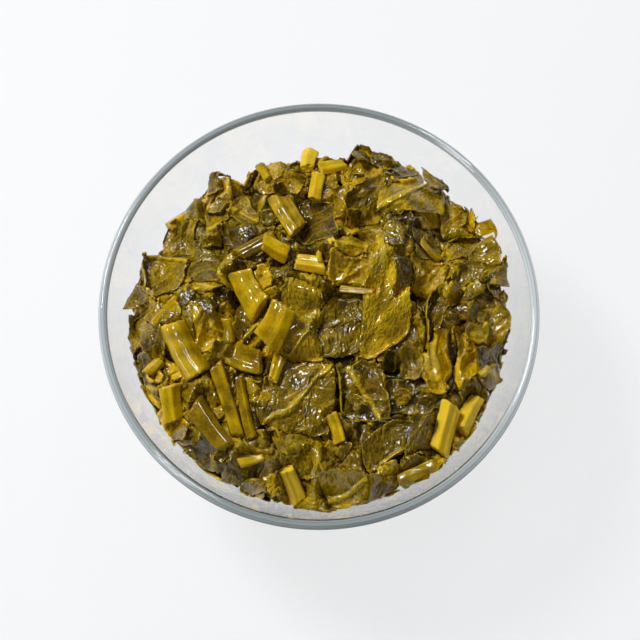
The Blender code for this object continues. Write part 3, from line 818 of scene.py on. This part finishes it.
def heap_core(sides=140):
    """The core's outline turned, with each point moved away from the core's middle by ripples."""
    lower = np.linspace(0, way_up(EDGE_HEIGHT - 3 * MM), 44)[::-1]
    lower = np.column_stack(inwards(lower, CORE_GAP))
    radii = np.linspace(0, 0.985, 60) * lower[0, 0]
    top = np.column_stack([radii, core_top(radii) - 0.8 * MM])
    points, faces = turned(np.concatenate([top, lower]), sides)
    rng = draws(CORE)
    x, y, z = points.T
    hills = np.abs(ripple(x, y + z, rng, 12 * MM)) + 0.5 * np.abs(ripple(x + z, y, rng, 5 * MM))
    away = points - np.array([0, 0, CORE_MIDDLE])
    away /= np.linalg.norm(away, axis=1, keepdims=True)
    points = points + away * ((hills - 0.9) * 0.9 * MM)[:, None]
    return drawn_in(points, outline(points[:, 0], points[:, 1]) - 3 * MM), faces


points, faces = heap_core()
make_piece("packed_core", points, faces, None, None, PACKED, "packed_leaf", ["leaf_heap"])
print("core:", len(faces), "triangles")

# %% [markdown]
# ## Where every bit lies
# The fixed frame lays some fifty bits on a sunflower spiral, then the large bits that show best, then the
# stalks. The same draws in the same order put fine pieces on the same places here. Smaller scraps, tips,
# crumbs and small bits of stalk go on copies of the map of heights, so that they never lift a frame's bit.

# %% The bits of the frame, in millimetres as seen against the rim
# One row for each large bit of leaf: its four corners, then how much it leans along X and Y.
LEAVES = [
    ((-77, -6), (-68, -26), (-62, -20), (-66, -3), (-0.15, 0)),
    ((-76, -22), (-64, -40), (-60, -28), (-69, -20), (-0.2, 0)),
    ((-53, -58), (-40, -69), (-33, -62), (-47, -50), (0, -0.1)),
    ((-38, -72), (-19, -77), (-16, -62), (-36, -60), (0, -0.15)),
    ((64, -18), (77, -16), (77, 0), (63, -1), (0.15, 0)),
    ((51, 32), (68, 32), (61, 41), (51, 50), (0.1, 0.2)),
    ((28, 56), (42, 58), (34, 67), (26, 67), (0, 0.2)),
    ((11, 54), (28, 57), (25, 70), (14, 72), (0, 0.35)),
    ((-45, 48), (-31, 50), (-36, 60), (-46, 60), (-0.1, 0.35)),
    ((-65, 23), (-53, 21), (-50, 37), (-61, 35), (-0.1, 0.2)),
    ((-26, 49), (-9, 50), (-3, 60), (-24, 61), (0, 0.2)),
    ((-9, 28), (7, 30), (5, 49), (-9, 47), (0, 0)),
    ((-50, -17), (-34, -17), (-34, -2), (-50, -1), (0, 0)),
    ((-71, 4), (-57, 9), (-54, 24), (-73, 22), (-0.2, 0.1)),
    ((-54, 12), (-36, 11), (-38, 27), (-50, 29), (-0.1, -0.1)),
    ((-46, 30), (-36, 40), (-38, 57), (-48, 44), (0.25, -0.1)),
    ((5, 12), (22, 12), (21, 23), (4, 23), (0, 0)),
    ((38, 6), (51, 10), (53, 20), (38, 24), (-0.1, 0)),
    ((53, 20), (70, 21), (70, 31), (52, 31), (0.1, -0.1)),
    ((11, 38), (24, 38), (29, 60), (13, 51), (-0.25, 0.1)),
    ((24, 41), (51, 41), (52, 57), (27, 53), (0, 0.15)),
    ((28, -42), (51, -42), (51, -30), (27, -27), (0, -0.1)),
    ((43, -16), (50, -6), (56, 9), (46, 11), (0.3, 0)),
    ((-14, -68), (2, -70), (2, -50), (-15, -49), (0, -0.1)),
    ((2, -70), (18, -70), (17, -55), (1, -52), (0, 0)),
    ((5, -82), (20, -81), (19, -69), (0, -67), (0, -0.2)),
    ((18, -70), (45, -47), (38, -44), (19, -50), (0, 0.1)),
    ((-26, -46), (3, -52), (6, -20), (-20, -22), (0, 0)),
    ((10, -44), (29, -45), (24, -20), (8, -22), (0.15, 0)),
    ((-16, -19), (1, -19), (2, 9), (-14, 12), (0, 0)),
    ((1, -19), (22, -15), (21, 5), (2, 5), (0.1, 0)),
    ((24, -22), (42, -17), (40, -5), (25, -12), (0, -0.2)),
    ((55, -34), (66, -24), (61, -9), (56, -9), (-0.3, 0)),
    ((40, -30), (52, -37), (52, -9), (48, -8), (-0.4, 0)),
    ((16, -20), (40, -5), (31, 34), (22, 29), (0, 0.1)),
]

# One row for each bit of stalk: X, Y, length, width, and heading in degrees.
STALKS = [
    (-4, 64, 10, 8, 88),
    (-1, 53, 11, 7, 80),
    (6, 61, 12, 7, 18),
    (-14, 39, 20, 10, -66),
    (-26, 27, 16, 7, 32),
    (-17, 26, 11, 8, -30),
    (-27, 8, 23, 13, -63),
    (-4, 19, 13, 8, -4),
    (-53, -16, 25, 12, -66),
    (-59, -37, 14, 10, 92),
    (-43, -50, 19, 11, -55),
    (-27, -20, 13, 11, -20),
    (-17, -7, 18, 14, 61),
    (-18, -25, 11, 6, 72),
    (-37, -38, 28, 7, -72),
    (-29, -41, 26, 5.5, -78),
    (-11, -75, 18, 8, -75),
    (6, -49, 12, 6.5, -72),
    (51, -52, 20, 10, 84),
    (62, -44, 18, 10, 54),
    (40, -67, 18, 7, 38),
    (45, 25, 10, 4.5, -35),
    (16, 9, 15, 4, -12),
]

# %% The bits that only the finished model has
SCRAPS, CHIPS, CRUMBS = 160, 110, 60
# The large bits, by number, on which no crumb lies.
KEPT_CLEAR = 10, 12, 14, 17, 18, 21, 24, 26, 27, 28, 30, 31, 34, 35
# As in STALKS, the small bits of stalk between them.
SMALL_STALKS = [
    (-57, 36, 9, 6, 30), (-51, 6, 8, 4, 12), (-22, 57, 10, 5, -58), (-37, -8, 10, 6, -80),
    (-66, -24, 8, 5, 45), (-16, -54, 14, 4, -62), (-26, -62, 10, 5, 20), (6, 26, 9, 5, -70),
    (66, 39, 8, 6, -50), (1, 25, 8, 4, -75), (-60, 1, 23, 3.6, 50),
]
# One row for each small bit of leaf that shows: its four corners, then its tone.
TIPS = [
    ((-39, 41), (-28, 36), (-24, 43), (-32, 50), 0.5),
    ((20, -80), (32, -77), (33, -67), (20, -68), 0.4),
    ((66, -31), (77, -24), (77, -14), (64, -16), 0.35),
    ((-47, 47), (-41, 50), (-41, 59), (-46, 61), 0.3),
    ((-79, -1), (-66, 1), (-66, 5), (-73, 8), 0.4),
    ((-36, 22), (-22, 22), (-26, 36), (-40, 33), 0.2),
    ((-42, 10), (-33, 8), (-32, 20), (-38, 22), 0.45),
    ((63, 34), (71, 30), (69, 40), (62, 40), 0.55),
    ((55, 10), (66, 11), (70, 18), (56, 19), 0.4),
    ((69, 6), (74, 2), (75, 14), (70, 14), 0.4),
    ((8, 24), (20, 24), (19, 31), (9, 31), 0.6),
    ((28, 24), (36, 26), (36, 36), (27, 36), 0.45),
    ((38, 22), (50, 24), (48, 32), (40, 34), 0.4),
    ((32, 8), (39, 14), (36, 22), (31, 21), 0.2),
    ((-44, -22), (-34, -21), (-34, -14), (-43, -14), 0.5),
    ((-36, -10), (-26, -10), (-24, 0), (-33, 6), 0.4),
    ((-58, -54), (-49, -58), (-47, -51), (-55, -48), 0.35),
    ((-33, -77), (-20, -78), (-18, -71), (-30, -70), 0.4),
    ((-62, -54), (-55, -56), (-52, -48), (-60, -46), 0.3),
    ((-53, -45), (-47, -46), (-47, -33), (-53, -32), 0.35),
    ((-48, -44), (-38, -46), (-40, -28), (-50, -30), 0.55),
    ((33, -29), (42, -28), (42, -17), (34, -16), 0.5),
    ((34, -60), (46, -56), (50, -46), (38, -44), 0.45),
    ((46, 50), (54, 50), (58, 58), (44, 60), 0.4),
    ((63, 36), (72, 28), (77, 36), (66, 45), 0.65),
    ((14, 62), (22, 64), (18, 78), (12, 72), 0.3),
    ((22, 62), (34, 62), (32, 75), (24, 72), 0.3),
    ((70, 10), (77, 8), (80, 18), (72, 20), 0.5),
    ((62, 20), (70, 16), (76, 24), (66, 30), 0.5),
]
# The rows of TIPS, from 1, that lean up against the glass, and how many millimetres their outer side rises.
LEANED = {4: 7, 5: 5, 9: 5, 24: 4, 25: 7, 28: 6, 29: 6}


def laid_stalk(ground, row):
    """The matrix that lays a stalk piece on the ground, and the size of the piece, from its row."""
    x, y, length, width, heading = row
    length, width = length * MM, width * MM
    thickness = width * STALK_FLATNESS
    middle = np.array(placed(x, y))
    turn = math.radians(heading)
    ahead = np.array([math.cos(turn), math.sin(turn)])
    aside = np.array([-ahead[1], ahead[0]])
    signs = ((-1, -1), (1, -1), (1, 1), (-1, 1))
    corners = [middle + ahead * i * length / 2 + aside * j * width / 2 for i, j in signs]
    samples = patch(corners, 18)
    below = ground[cell_of(samples)]
    terms = bowed(samples, middle)[:, :3]
    plane = np.linalg.lstsq(terms, below, rcond=None)[0]
    plane[0] += np.percentile(below - terms @ plane, 55)
    normal = Vector((-plane[1] / (BOW_UNIT * MM), -plane[2] / (BOW_UNIT * MM), 1)).normalized()
    side = normal.cross(Vector((*ahead, 0))).normalized()
    front = side.cross(normal)
    centre = Vector((*middle, plane[0])) + normal * thickness * 0.5
    np.maximum.at(ground, cell_of(samples), terms @ plane + thickness * 0.8)
    placing = Matrix((front, side, normal)).transposed().to_4x4()
    ends = [centre + front * i * length / 2 + side * j * width / 2 for i in (-1, 1) for j in (-1, 1)]
    excess = max(e.xy.length - inner_radius(e.z - thickness / 2) + GLASS_GAP for e in ends)
    placing.translation = centre - centre.xy.normalized().to_3d() * max(0, excess)
    return placing, (length, width, thickness)


# %% Lay every bit, from the bottom up
def fan(count, reach, turn=0.0):
    """Points of a sunflower spiral that covers a disc evenly."""
    i = np.arange(count)
    angle = i * GOLDEN_ANGLE + turn
    radius = reach * np.sqrt((i + 0.5) / count)
    return np.column_stack([radius * np.cos(angle), radius * np.sin(angle)])


def covered_by(rows):
    """The map's cells under some rows of LEAVES."""
    cells = np.zeros((CELLS, CELLS), bool)
    for *corners, _ in rows:
        cells[cell_of(patch([placed(*c) for c in corners], 40))] = True
    return cells


def covered_share(corners, count):
    """How much of a bit lies under the large ones."""
    return hidden[cell_of(patch(corners, count))].mean()


hidden = covered_by(LEAVES)

# A scrap that is covered by more than this isn't laid. The smaller bits crumple less than the large ones.
WORTH_LAYING, SCRAP_CRUMPLE, TIP_CRUMPLE, CRUMB_CRUMPLE = 0.95, 0.7 * MM, 0.8 * MM, 0.6 * MM

fill = []
places = fan(TOP_FILL, HEAP_RADIUS * 0.95)
for i in draws().permutation(TOP_FILL):
    rng = draws(FILL, i)
    corners = random_corners(rng, places[i], rng.uniform(17, 25) * MM)
    if covered_share(corners, 12) <= MOST_HIDDEN:
        fill.append((corners, laid_leaf(ground, corners, rng.uniform(-0.3, 0.3, 2), rng), rng))

scraps = []
under = ground.copy()
places = fan(SCRAPS, HEAP_RADIUS * 0.97, 1)
for i in draws(SCRAP).permutation(SCRAPS):
    rng = draws(SCRAP, i)
    corners = random_corners(rng, places[i], rng.uniform(8, 16) * MM)
    if covered_share(corners, 8) < WORTH_LAYING:
        lean = rng.uniform(-0.5, 0.5, 2)
        scraps.append((corners, laid_leaf(under, corners, lean, rng, SCRAP_CRUMPLE), rng))

large = []
for number, (*corners, lean) in enumerate(LEAVES, 1):
    corners = np.array([placed(*c) for c in corners])
    rng = draws(LARGE, number)
    large.append((corners, laid_leaf(ground, corners, lean, rng), rng))

over = ground.copy()
tips = []
for number, (*corners, tone) in enumerate(TIPS, 1):
    corners = np.array([placed(*c) for c in corners])
    rng = draws(TIP, number)
    lean = rng.uniform(-0.2, 0.2, 2)
    tips.append((corners, laid_leaf(over, corners, lean, rng, TIP_CRUMPLE), rng, tone))

crumbs = []
shown = covered_by([LEAVES[number - 1] for number in KEPT_CLEAR])
places = fan(CRUMBS, HEAP_RADIUS * 0.96, 2)
for i in range(CRUMBS):
    rng = draws(CRUMB, i)
    corners = random_corners(rng, places[i] + rng.normal(0, 2 * MM, 2), rng.uniform(3, 8) * MM)
    if not shown[cell_of(patch(corners, 8))].any():
        lean = rng.uniform(-0.5, 0.5, 2)
        crumbs.append((corners, laid_leaf(over, corners, lean, rng, CRUMB_CRUMPLE), rng))

stalks = [laid_stalk(ground, row) for row in STALKS]
over = np.maximum(over, ground)
small_stalks = [laid_stalk(over, row) for row in SMALL_STALKS]
for what, laid in (("fill", fill), ("scraps", scraps), ("large", large), ("tips", tips), ("crumbs", crumbs)):
    print("laid:", len(laid), what)

# %% [markdown]
# ## The bits of stalk
# A collard's leaf stalk is thick, round below and grooved above, with fibres along it. Chopping leaves blunt
# cut ends. Each bit is a section carried along a short path, closed by rings that shrink to a point.
# The pieces are made from the top of the heap down. Each one lowers a ceiling over the cells that it covers,
# and those below it keep under that ceiling, so that no bit pokes through the one that lies on it. Next to a
# bit the ceiling rises by a slope, as wet bits sag there and don't stand upright.

# %% Make the stalks
FACE_RINGS = np.array([0.25, 0.5, 0.72, 0.88, 0.96])
FLATS, ROUND, SHARPNESS = 5, 1.06, 30


def stalk_body(placing, size, slants, tone, rng, rows=34, sides=44):
    """A bit of stalk: its section (cos, sin, flattened by a groove above) carried along X, with blunt ends.

    Rings run from a pole at one end, out over the cut face, along the skin and in over the other face. The
    section's radius is the smooth minimum of a few flat sides and a circle: -log(sum of exp(-k r)) / k.
    """
    length, width, thickness = size
    scale = np.concatenate([FACE_RINGS, np.ones(rows), FACE_RINGS[::-1]])[:, None]
    t = np.concatenate([0 * FACE_RINGS, np.linspace(0, 1, rows), np.ones_like(FACE_RINGS)])[:, None]
    theta = np.arange(sides)[None, :] * TAU / sides
    flats_at = np.arange(FLATS) * TAU / FLATS + rng.uniform(-0.3, 0.3, FLATS) + rng.uniform(0, TAU)
    flats = rng.uniform(0.72, 0.94, FLATS) / np.maximum(np.cos(theta[..., None] - flats_at), 0.3)
    facets = np.exp(-SHARPNESS * flats).sum(axis=-1) + math.exp(-SHARPNESS * ROUND)
    facets = -np.log(facets) / SHARPNESS
    fibres = facets - 1 + 0.005 * np.sin(15 * theta + rng.uniform(0, TAU) + 0.6 * np.sin(5 * t))
    waist = 1 - 0.06 * np.sin(math.pi * t) * rng.uniform(-1, 1)
    swell = 1 + fibres + 0.02 * ripple(t * length, theta * width / 3, rng, 8 * MM)
    taper = 1 - rng.uniform(0.02, 0.3) * (t if rng.uniform() < 0.5 else 1 - t)
    y0 = 0.5 * np.cos(theta) * taper * scale
    z0 = 0.5 * np.sin(theta) * taper * scale
    groove = rng.uniform(0.05, 0.3) * np.exp(-((y0 / 0.17) ** 2)) * np.clip(z0 / 0.15, 0, 1)
    slant = -slants[0] * t + slants[1] * (1 - t)
    rounding = np.clip(1 - np.minimum(t, 1 - t) * length / (0.5 * MM), 0, 1) ** 2 * 0.06
    x = (t - 0.5) * length + slant * (y0 + 0.5) * width * 0.5
    x = x + np.where(scale < 1, 0.25 * MM * ripple(y0 * width, z0 * thickness, rng, 2.5 * MM), 0)
    y = y0 * width * swell * waist * (1 - rounding)
    z = z0 * thickness * 1.12 * (1 - groove) * swell * waist * (1 - rounding)
    bend = rng.uniform(-0.7, 0.7) * MM * np.sin(math.pi * t) * min(1, length / (16 * MM))
    local = np.stack(np.broadcast_arrays(x, y + bend, z), axis=-1).reshape(-1, 3)
    poles = [local[:sides].mean(axis=0), local[-sides:].mean(axis=0)]
    local = np.concatenate([local, poles])
    turn = np.array(placing)
    points = local @ turn[:3, :3].T + turn[:3, 3]
    total, ring = len(scale), np.arange(sides)
    faces = np.concatenate([
        fan_faces(total * sides, ring), grid_faces(total, sides, wrap=True),
        fan_faces(total * sides + 1, ring + (total - 1) * sides)[:, ::-1],
    ])
    cut = np.broadcast_to(np.where(scale < 1, 1.0, 0.0), y0.shape)
    # The ridges between the flat sides are painted lighter: partly paler fibres there, partly a painted
    # highlight along each ridge.
    shade = tone + 0.1 * ripple(t * length, theta * 3 * MM, rng, 9 * MM) + 0.5 * (facets - 0.92)
    shade = np.clip(shade, 0, 1)
    look = np.stack([shade, 0 * cut, cut, np.full_like(cut, rng.uniform())], axis=-1).reshape(-1, 4)
    flat = np.stack(np.broadcast_arrays(t * length / MM, theta * width / 2 / MM, scale), axis=-1)
    flat = flat.reshape(-1, 3)
    flat = np.concatenate([flat, flat[:1], flat[-1:]]) + rng.uniform(0, 500, 3)
    return points, faces[:, ::-1], np.concatenate([look, look[:1], look[-1:]]), flat


# The ceiling starts this far above the heap's dome. For so many cells round a bit it rises by this slope.
MOST_PROUD, STEEPEST, SLOPED_CELLS = 9 * MM, 2.4, 3
NEIGHBOURS = [(i, j) for i in (-1, 0, 1) for j in (-1, 0, 1) if i or j]
ceiling = crown(FROM_AXIS) + MOST_PROUD


def lower_ceiling(points, depth):
    """The ceiling comes down to a depth under the points, and beside them it rises by a slope."""
    np.minimum.at(ceiling, cell_of(points[:, :2]), points[:, 2] - depth)
    for _ in range(SLOPED_CELLS):
        for step in NEIGHBOURS:
            rise = STEEPEST * CELL * math.hypot(*step)
            np.minimum(ceiling, np.roll(ceiling, step, axis=(0, 1)) + rise, out=ceiling)


# The tone of each bit of stalk, from 0 for dark olive to 1 for yellow. Each was matched to how bright the bit
# looks, so besides its own colour it holds painted light and shade: some bits that lie in shade are painted
# paler.
STALK_TONES = {
    1: 0.95, 2: 0.75, 3: 0.55, 4: 0.38, 5: 0.15, 6: 0.56, 7: 0.5, 8: 0.85, 9: 0.5, 10: 0.6, 11: 0.1, 12: 0.24,
    13: 0.45, 14: 0.52, 15: 0.2, 16: 0.22, 17: 1.0, 18: 0.56, 19: 1.0, 20: 1.0, 21: 0.42, 22: 0.18, 23: 0.3,
}
# A bit whose form comes from other random numbers than its own, because they suit the real one better.
REDRAWN = {23: 60}


def small_stalk(number, placing, size):
    """A small bit of stalk, with slants and tone at random, of fewer points than the large ones."""
    rng = draws(SMALL_STALK, number)
    slants = rng.uniform(-0.5, 0.5, 2)
    return stalk_body(placing, size, slants, rng.normal(0.52, 0.14), rng, 14, 20)


bodies = [small_stalk(number, *placed_bit) for number, placed_bit in enumerate(small_stalks, 1)]
make_joined("small_stalk_bits", bodies, STALK, "stalk")

for number, (placing, size) in enumerate(stalks, 1):
    slants = draws(SLANT, number).uniform(-0.9, 0.9, 2)
    rng = draws(FORM, REDRAWN.get(number, number))
    body = stalk_body(placing, size, slants, STALK_TONES[number], rng)
    name = f"stalk_piece_{number:02d}"
    make_piece("fine_" + name, *body, STALK, "stalk", [name])
    lower_ceiling(body[0], 0)
print("stalks:", len(stalks), "and", len(small_stalks), "small ones")

# %% [markdown]
# ## The bits of leaf on top
# These are the bits that show best. Each has the place that it has in the fixed frame. Where the real bit
# shows a midrib, a side rolled over or an odd colour, a short table says so, and the rest follow the rule.
# Tips, scraps and crumbs fill the gaps between them, and the chopped fill lies under all of them.


# %% Make the bits of leaf, from the top down
def on_heap(surface):
    """The lay of a bit on the heap: the laid surface's height plus the lift, kept under the ceiling."""

    def lay(plan, lift):
        height = np.minimum(surface(plan) + lift, ceiling[cell_of(plan)])
        return kept_in_bowl(np.column_stack([plan, height]))

    return lay


def leaning(surface, corners, rise):
    """The lay of a bit at the edge: its outer side rises and moves out until it leans on the glass."""
    radii = np.hypot(*corners.T)

    def lay(plan, lift):
        share = np.clip((np.hypot(*plan.T) - radii.min()) / np.ptp(radii), 0, 1)
        height = np.minimum(surface(plan) + lift, ceiling[cell_of(plan)]) + rise * MM * share**1.5
        return kept_in_bowl(np.column_stack([plan * (1 + 0.06 * share)[:, None], height]))

    return lay


# A bit is larger by this share, so that its edge goes under its neighbours, and keeps others this far below.
EDGE_UNDER, BIT_DEPTH = 0.07, 1.1 * MM


def make_leaf(corners, surface, rng, *settings, rise=0, **more):
    """A bit of leaf under the ceiling, which its upper face then lowers."""
    corners = corners + (corners - corners.mean(axis=0)) * EDGE_UNDER
    lay = leaning(surface, corners, rise) if rise else on_heap(surface)
    points, *rest = leaf_sheet(corners, lay, rng, *settings, **more)
    lower_ceiling(points[: len(points) // 2], BIT_DEPTH)
    return points, *rest


def random_tone(rng, middle=(0, 0)):
    """Most bits are dark olive, some are yellow, and those near the glass are paler."""
    edge = 0.14 * np.clip((np.hypot(*middle) / MM - 60) / 12, 0, 1)
    return float(np.clip(rng.normal(0.47, 0.19) + edge, 0.12, 0.95))


# Each table goes by the number of the large bit. First the tone, from 0 for dark olive to 1 for yellow,
# matched to how bright each bit looks, so besides the bit's own colour it holds painted light and shade.
TONES = {
    1: 0.37, 2: 0.28, 3: 0.24, 4: 0.3, 5: 0.55, 6: 0.6, 7: 0.3, 8: 0.6, 9: 0.7, 10: 0.54, 11: 0.62, 12: 0.23,
    13: 0.72, 14: 0.46, 15: 0.35, 16: 0.47, 17: 0.71, 18: 0.67, 19: 0.5, 20: 0.47, 21: 0.57, 22: 0.26,
    23: 0.38, 24: 0.53, 25: 0.45, 26: 0.57, 27: 0.35, 28: 0.44, 29: 0.33, 30: 0.63, 31: 0.43, 32: 0.41,
    33: 0.72, 34: 0.67, 35: 0.71,
}
# The midribs that show: from where to where as seen against the rim, and how wide, in millimetres.
RIBS = {
    21: ((25, 43), (51, 56), 3), 28: ((-20, -46), (2, -29), 2), 30: ((-12, -17), (0, -5), 1.5),
    26: ((5, -79), (18, -70), 2), 27: ((20, -68), (44, -48), 3), 35: ((34, 4), (26, 31), 4.5),
}
# The bits that are smoother than the rule, and the share of the relief that they keep.
CALM = {
    10: 0.7, 12: 0.6, 14: 0.7, 21: 0.5, 24: 0.8, 26: 0.55, 27: 0.5, 28: 0.7, 29: 0.8, 30: 0.6, 31: 0.7,
    32: 0.7, 34: 0.45, 35: 0.35,
}
# The sides that are rolled over, with the roll's radius in millimetres and how far round it goes in radians.
ROLLS = {
    1: ("left", 1.6, 2.4), 8: ("back", 1.5, 2.2), 9: ("left", 1.6, 2.6), 16: ("right", 2.0, 2.8),
    20: ("left", 1.5, 2.4), 23: ("left", 1.8, 2.6), 29: ("left", 1.4, 2.2), 33: ("right", 1.6, 2.4),
    34: ("right", 2.2, 2.6), 6: ("right", 1.6, 2.4), 19: ("back", 1.6, 2.4), 14: ("left", 1.5, 2.4),
    35: ("front", 0.9, 2.3),
}
# The bits that lie higher than the rule puts them, in millimetres.
RAISED = {35: 1.6, 34: 1.2, 21: 1.2, 28: 0.6, 27: 0.6}


def rib_of(corners, start, end, width):
    """A midrib from start to end, both on the heap, in the bit's own millimetres along u and v."""
    across, up = corners[1] - corners[0], corners[3] - corners[0]
    into = np.linalg.inv(np.column_stack([across / np.linalg.norm(across), up / np.linalg.norm(up)]))
    start, end = into @ (start - corners[0]), into @ (end - corners[0])
    return tuple(start), math.atan2(*(end - start)[::-1]), width * MM


def crumb(corners, surface, rng):
    """A tiny bit. Every other one has a side rolled over."""
    roll = None
    if rng.uniform() < 0.5:
        roll = (rng.choice(list(SIDES)), rng.uniform(0.7, 1.3), rng.uniform(1.5, 3.2))
    tone = random_tone(rng, corners.mean(axis=0))
    return make_leaf(corners, surface, rng, 13, tone, roll=roll, rough=0.8, torn=0.8)


def loose_bit(corners, surface, rng, count, **more):
    """A bit of leaf with a tone at random."""
    return make_leaf(corners, surface, rng, count, random_tone(rng, corners.mean(axis=0)), **more)


make_joined("leaf_crumbs", [crumb(*bit) for bit in crumbs[::-1]], LEAF, "leaf")
bits = [
    make_leaf(*bit, 25, tone, rough=0.8, rise=LEANED.get(number, 0))
    for number, (*bit, tone) in reversed(list(enumerate(tips, 1)))
]
make_joined("leaf_tips", bits, LEAF, "leaf")

for number, (corners, surface, rng) in reversed(list(enumerate(large, 1))):
    rib = RIBS.get(number)
    rib = rib and rib_of(corners, placed(*rib[0]), placed(*rib[1]), rib[2])
    count = int(np.clip(np.linalg.norm(corners[2] - corners[0]) / (0.55 * MM), 31, 53))
    relief = dict(rib=rib, roll=ROLLS.get(number), rough=CALM.get(number, 1.0), raised=RAISED.get(number, 0))
    grids = make_leaf(corners, surface, rng, count, TONES[number], **relief)
    name = f"leaf_piece_{number:02d}"
    make_piece("fine_" + name, *grids, LEAF, "leaf", [name])

print("large bits:", len(large))

make_joined("leaf_scraps", [loose_bit(*bit, 17, torn=0.8) for bit in scraps[::-1]], LEAF, "leaf")
make_joined("chopped_leaf_fill", [loose_bit(*bit, 29) for bit in fill[::-1]], LEAF, "leaf")

# %% [markdown]
# ## Bits pressed on the glass
# From the side the bowl shows leaf right against the glass. These sheets follow the inside of the bowl. Their
# upper face looks out through it, and a pucker only brings it nearer to the glass, never through it.


# %% Make the bits on the glass
def bits_on_glass(kind, count, span, first_height, turn, base, sizes, points_a_side, **relief):
    """Bits on the glass, evenly spread from near the floor to below the heap's edge."""
    for i in range(count):
        rng = draws(kind, i)
        height = (i + 0.5) / count * (EDGE_HEIGHT - span * MM) + first_height * MM
        lay = glass_lay(height, i * GOLDEN_ANGLE + turn, base * MM, rng)
        corners = random_corners(rng, (0, 0), rng.uniform(*sizes) * MM)
        yield leaf_sheet(corners, lay, rng, points_a_side, random_tone(rng), **relief)


bits = bits_on_glass(ON_GLASS, WALL_FILL, 12, 4, 0, 2, (19, 26), 21, rough=0.5)
make_joined("leaf_on_glass", bits, LEAF, "leaf")
bits = bits_on_glass(CHIP, CHIPS, 7, 5, 2, 1.2, (10, 19), 12, rough=0.4, torn=0.8)
make_joined("leaf_chips_on_glass", bits, LEAF, "leaf")

# %% [markdown]
# ## Floor, camera and light
# The bowl stands on a white table, seen from steeply above. The table glows a little, which keeps it as white
# as in the photograph. One large lamp up on the left makes the soft shadow to the right and the lights on the
# wet leaves, two small lamps add glints to the wet film alone, and a pale sky fills in.

# %% Stage the picture
floor_mesh = bpy.data.meshes.new("table_top")
floor_mesh.from_pydata([(-3, -3, 0), (3, -3, 0), (3, 3, 0), (-3, 3, 0)], [], [(0, 1, 2, 3)])
floor = bpy.data.objects.new("table_top", floor_mesh)
bpy.context.scene.collection.objects.link(floor)
white = Nodes("white table")
white.set(Base_Color=(0.15, 0.152, 0.156, 1), Roughness=0.6)
white.set(Emission_Color=(0.985, 0.99, 1, 1), Emission_Strength=0.77)
floor_mesh.materials.append(white.material)
floor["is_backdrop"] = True

# In pixels: the picture's side, the middle of the rim in it, and half of the rim's width.
FRAME, RIM_IN_FRAME, RIM_HALF_WIDTH = 640, (319.0, 310.6), 220.3
camera_data = bpy.data.cameras.new("camera")
camera = bpy.data.objects.new("camera", camera_data)
bpy.context.scene.collection.objects.link(camera)
bpy.context.scene.camera = camera
away, up = SIGHT_DISTANCE * math.cos(SIGHT_ELEVATION), SIGHT_DISTANCE * math.sin(SIGHT_ELEVATION)
camera.location = (0, -away, WALL_TOP + up)
camera.rotation_euler = (math.pi / 2 - SIGHT_ELEVATION, 0, 0)
camera_data.sensor_width = 36
tangent = RIM_RADIUS / SIGHT_DISTANCE * (FRAME / 2) / RIM_HALF_WIDTH
camera_data.lens = camera_data.sensor_width / 2 / tangent
camera_data.shift_x = (FRAME / 2 - RIM_IN_FRAME[0]) / FRAME
camera_data.shift_y = (RIM_IN_FRAME[1] - FRAME / 2) / FRAME
camera_data.clip_start = 0.01

bpy.context.scene.view_settings.view_transform = "Standard"

# The sky is brightest at the horizon, and brighter on the window's side than on the other.
SKY, WINDOW_SIDE = 0.22, (-0.45, 0.35, 0)
world = bpy.data.worlds.new("pale room")
bpy.context.scene.world = world
world.use_nodes = True
sky = world.node_tree.nodes
join = world.node_tree.links.new
facing = sky.new("ShaderNodeTexCoord").outputs["Generated"]
height = sky.new("ShaderNodeSeparateXYZ")
join(facing, height.inputs["Vector"])
band = sky.new("ShaderNodeValToRGB")
for place, level in ((0.0, 1.0), (0.5, 1.0), (0.75, 0.35), (1.0, 0.12)):
    stop = band.color_ramp.elements.new(place)
    stop.color = (level, level, level * 1.02, 1)
band.color_ramp.elements.remove(band.color_ramp.elements[-1])
band.color_ramp.elements.remove(band.color_ramp.elements[0])
join(height.outputs["Z"], band.inputs["Fac"])
toward = sky.new("ShaderNodeVectorMath")
toward.operation = "DOT_PRODUCT"
toward.inputs[1].default_value = WINDOW_SIDE
join(facing, toward.inputs[0])
level = sky.new("ShaderNodeMath")
level.operation = "MULTIPLY_ADD"
level.inputs[1].default_value = level.inputs[2].default_value = SKY
join(toward.outputs["Value"], level.inputs[0])
join(band.outputs["Color"], sky["Background"].inputs["Color"])
join(level.outputs["Value"], sky["Background"].inputs["Strength"])


def lamp(name, place, size, power, spark=False):
    """A round lamp that faces the bowl. A spark is seen only in shiny surfaces."""
    data = bpy.data.lights.new(name, "AREA")
    data.shape, data.size, data.energy = "DISK", size, power
    obj = bpy.data.objects.new(name, data)
    obj.location = place
    obj.rotation_euler = (-Vector(place)).to_track_quat("-Z", "Y").to_euler()
    obj.visible_diffuse = not spark
    bpy.context.scene.collection.objects.link(obj)


lamp("window", (-0.7, 0.55, 1.15), 0.42, 15)
lamp("back_spark", (0.3, 0.75, 1.1), 0.2, 5.5, spark=True)
lamp("left_spark", (-0.55, -0.3, 1.15), 0.2, 5.5, spark=True)
print("lens", round(camera_data.lens, 1), "mm")

# %% [markdown]
# ## Sizes
# Both boxes, the fixed frame's and the finished model's, are gathered, and the finished model's is printed.
# The finished model has to stay inside the fixed frame's box.

# %% Gather the sizes and finish
shown_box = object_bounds()
sizes = {"cad": [list(map(float, c)) for c in frame_box], "visual": [list(map(float, c)) for c in shown_box]}
print("visual box:", [[round(c, 4) for c in corner] for corner in sizes["visual"]])
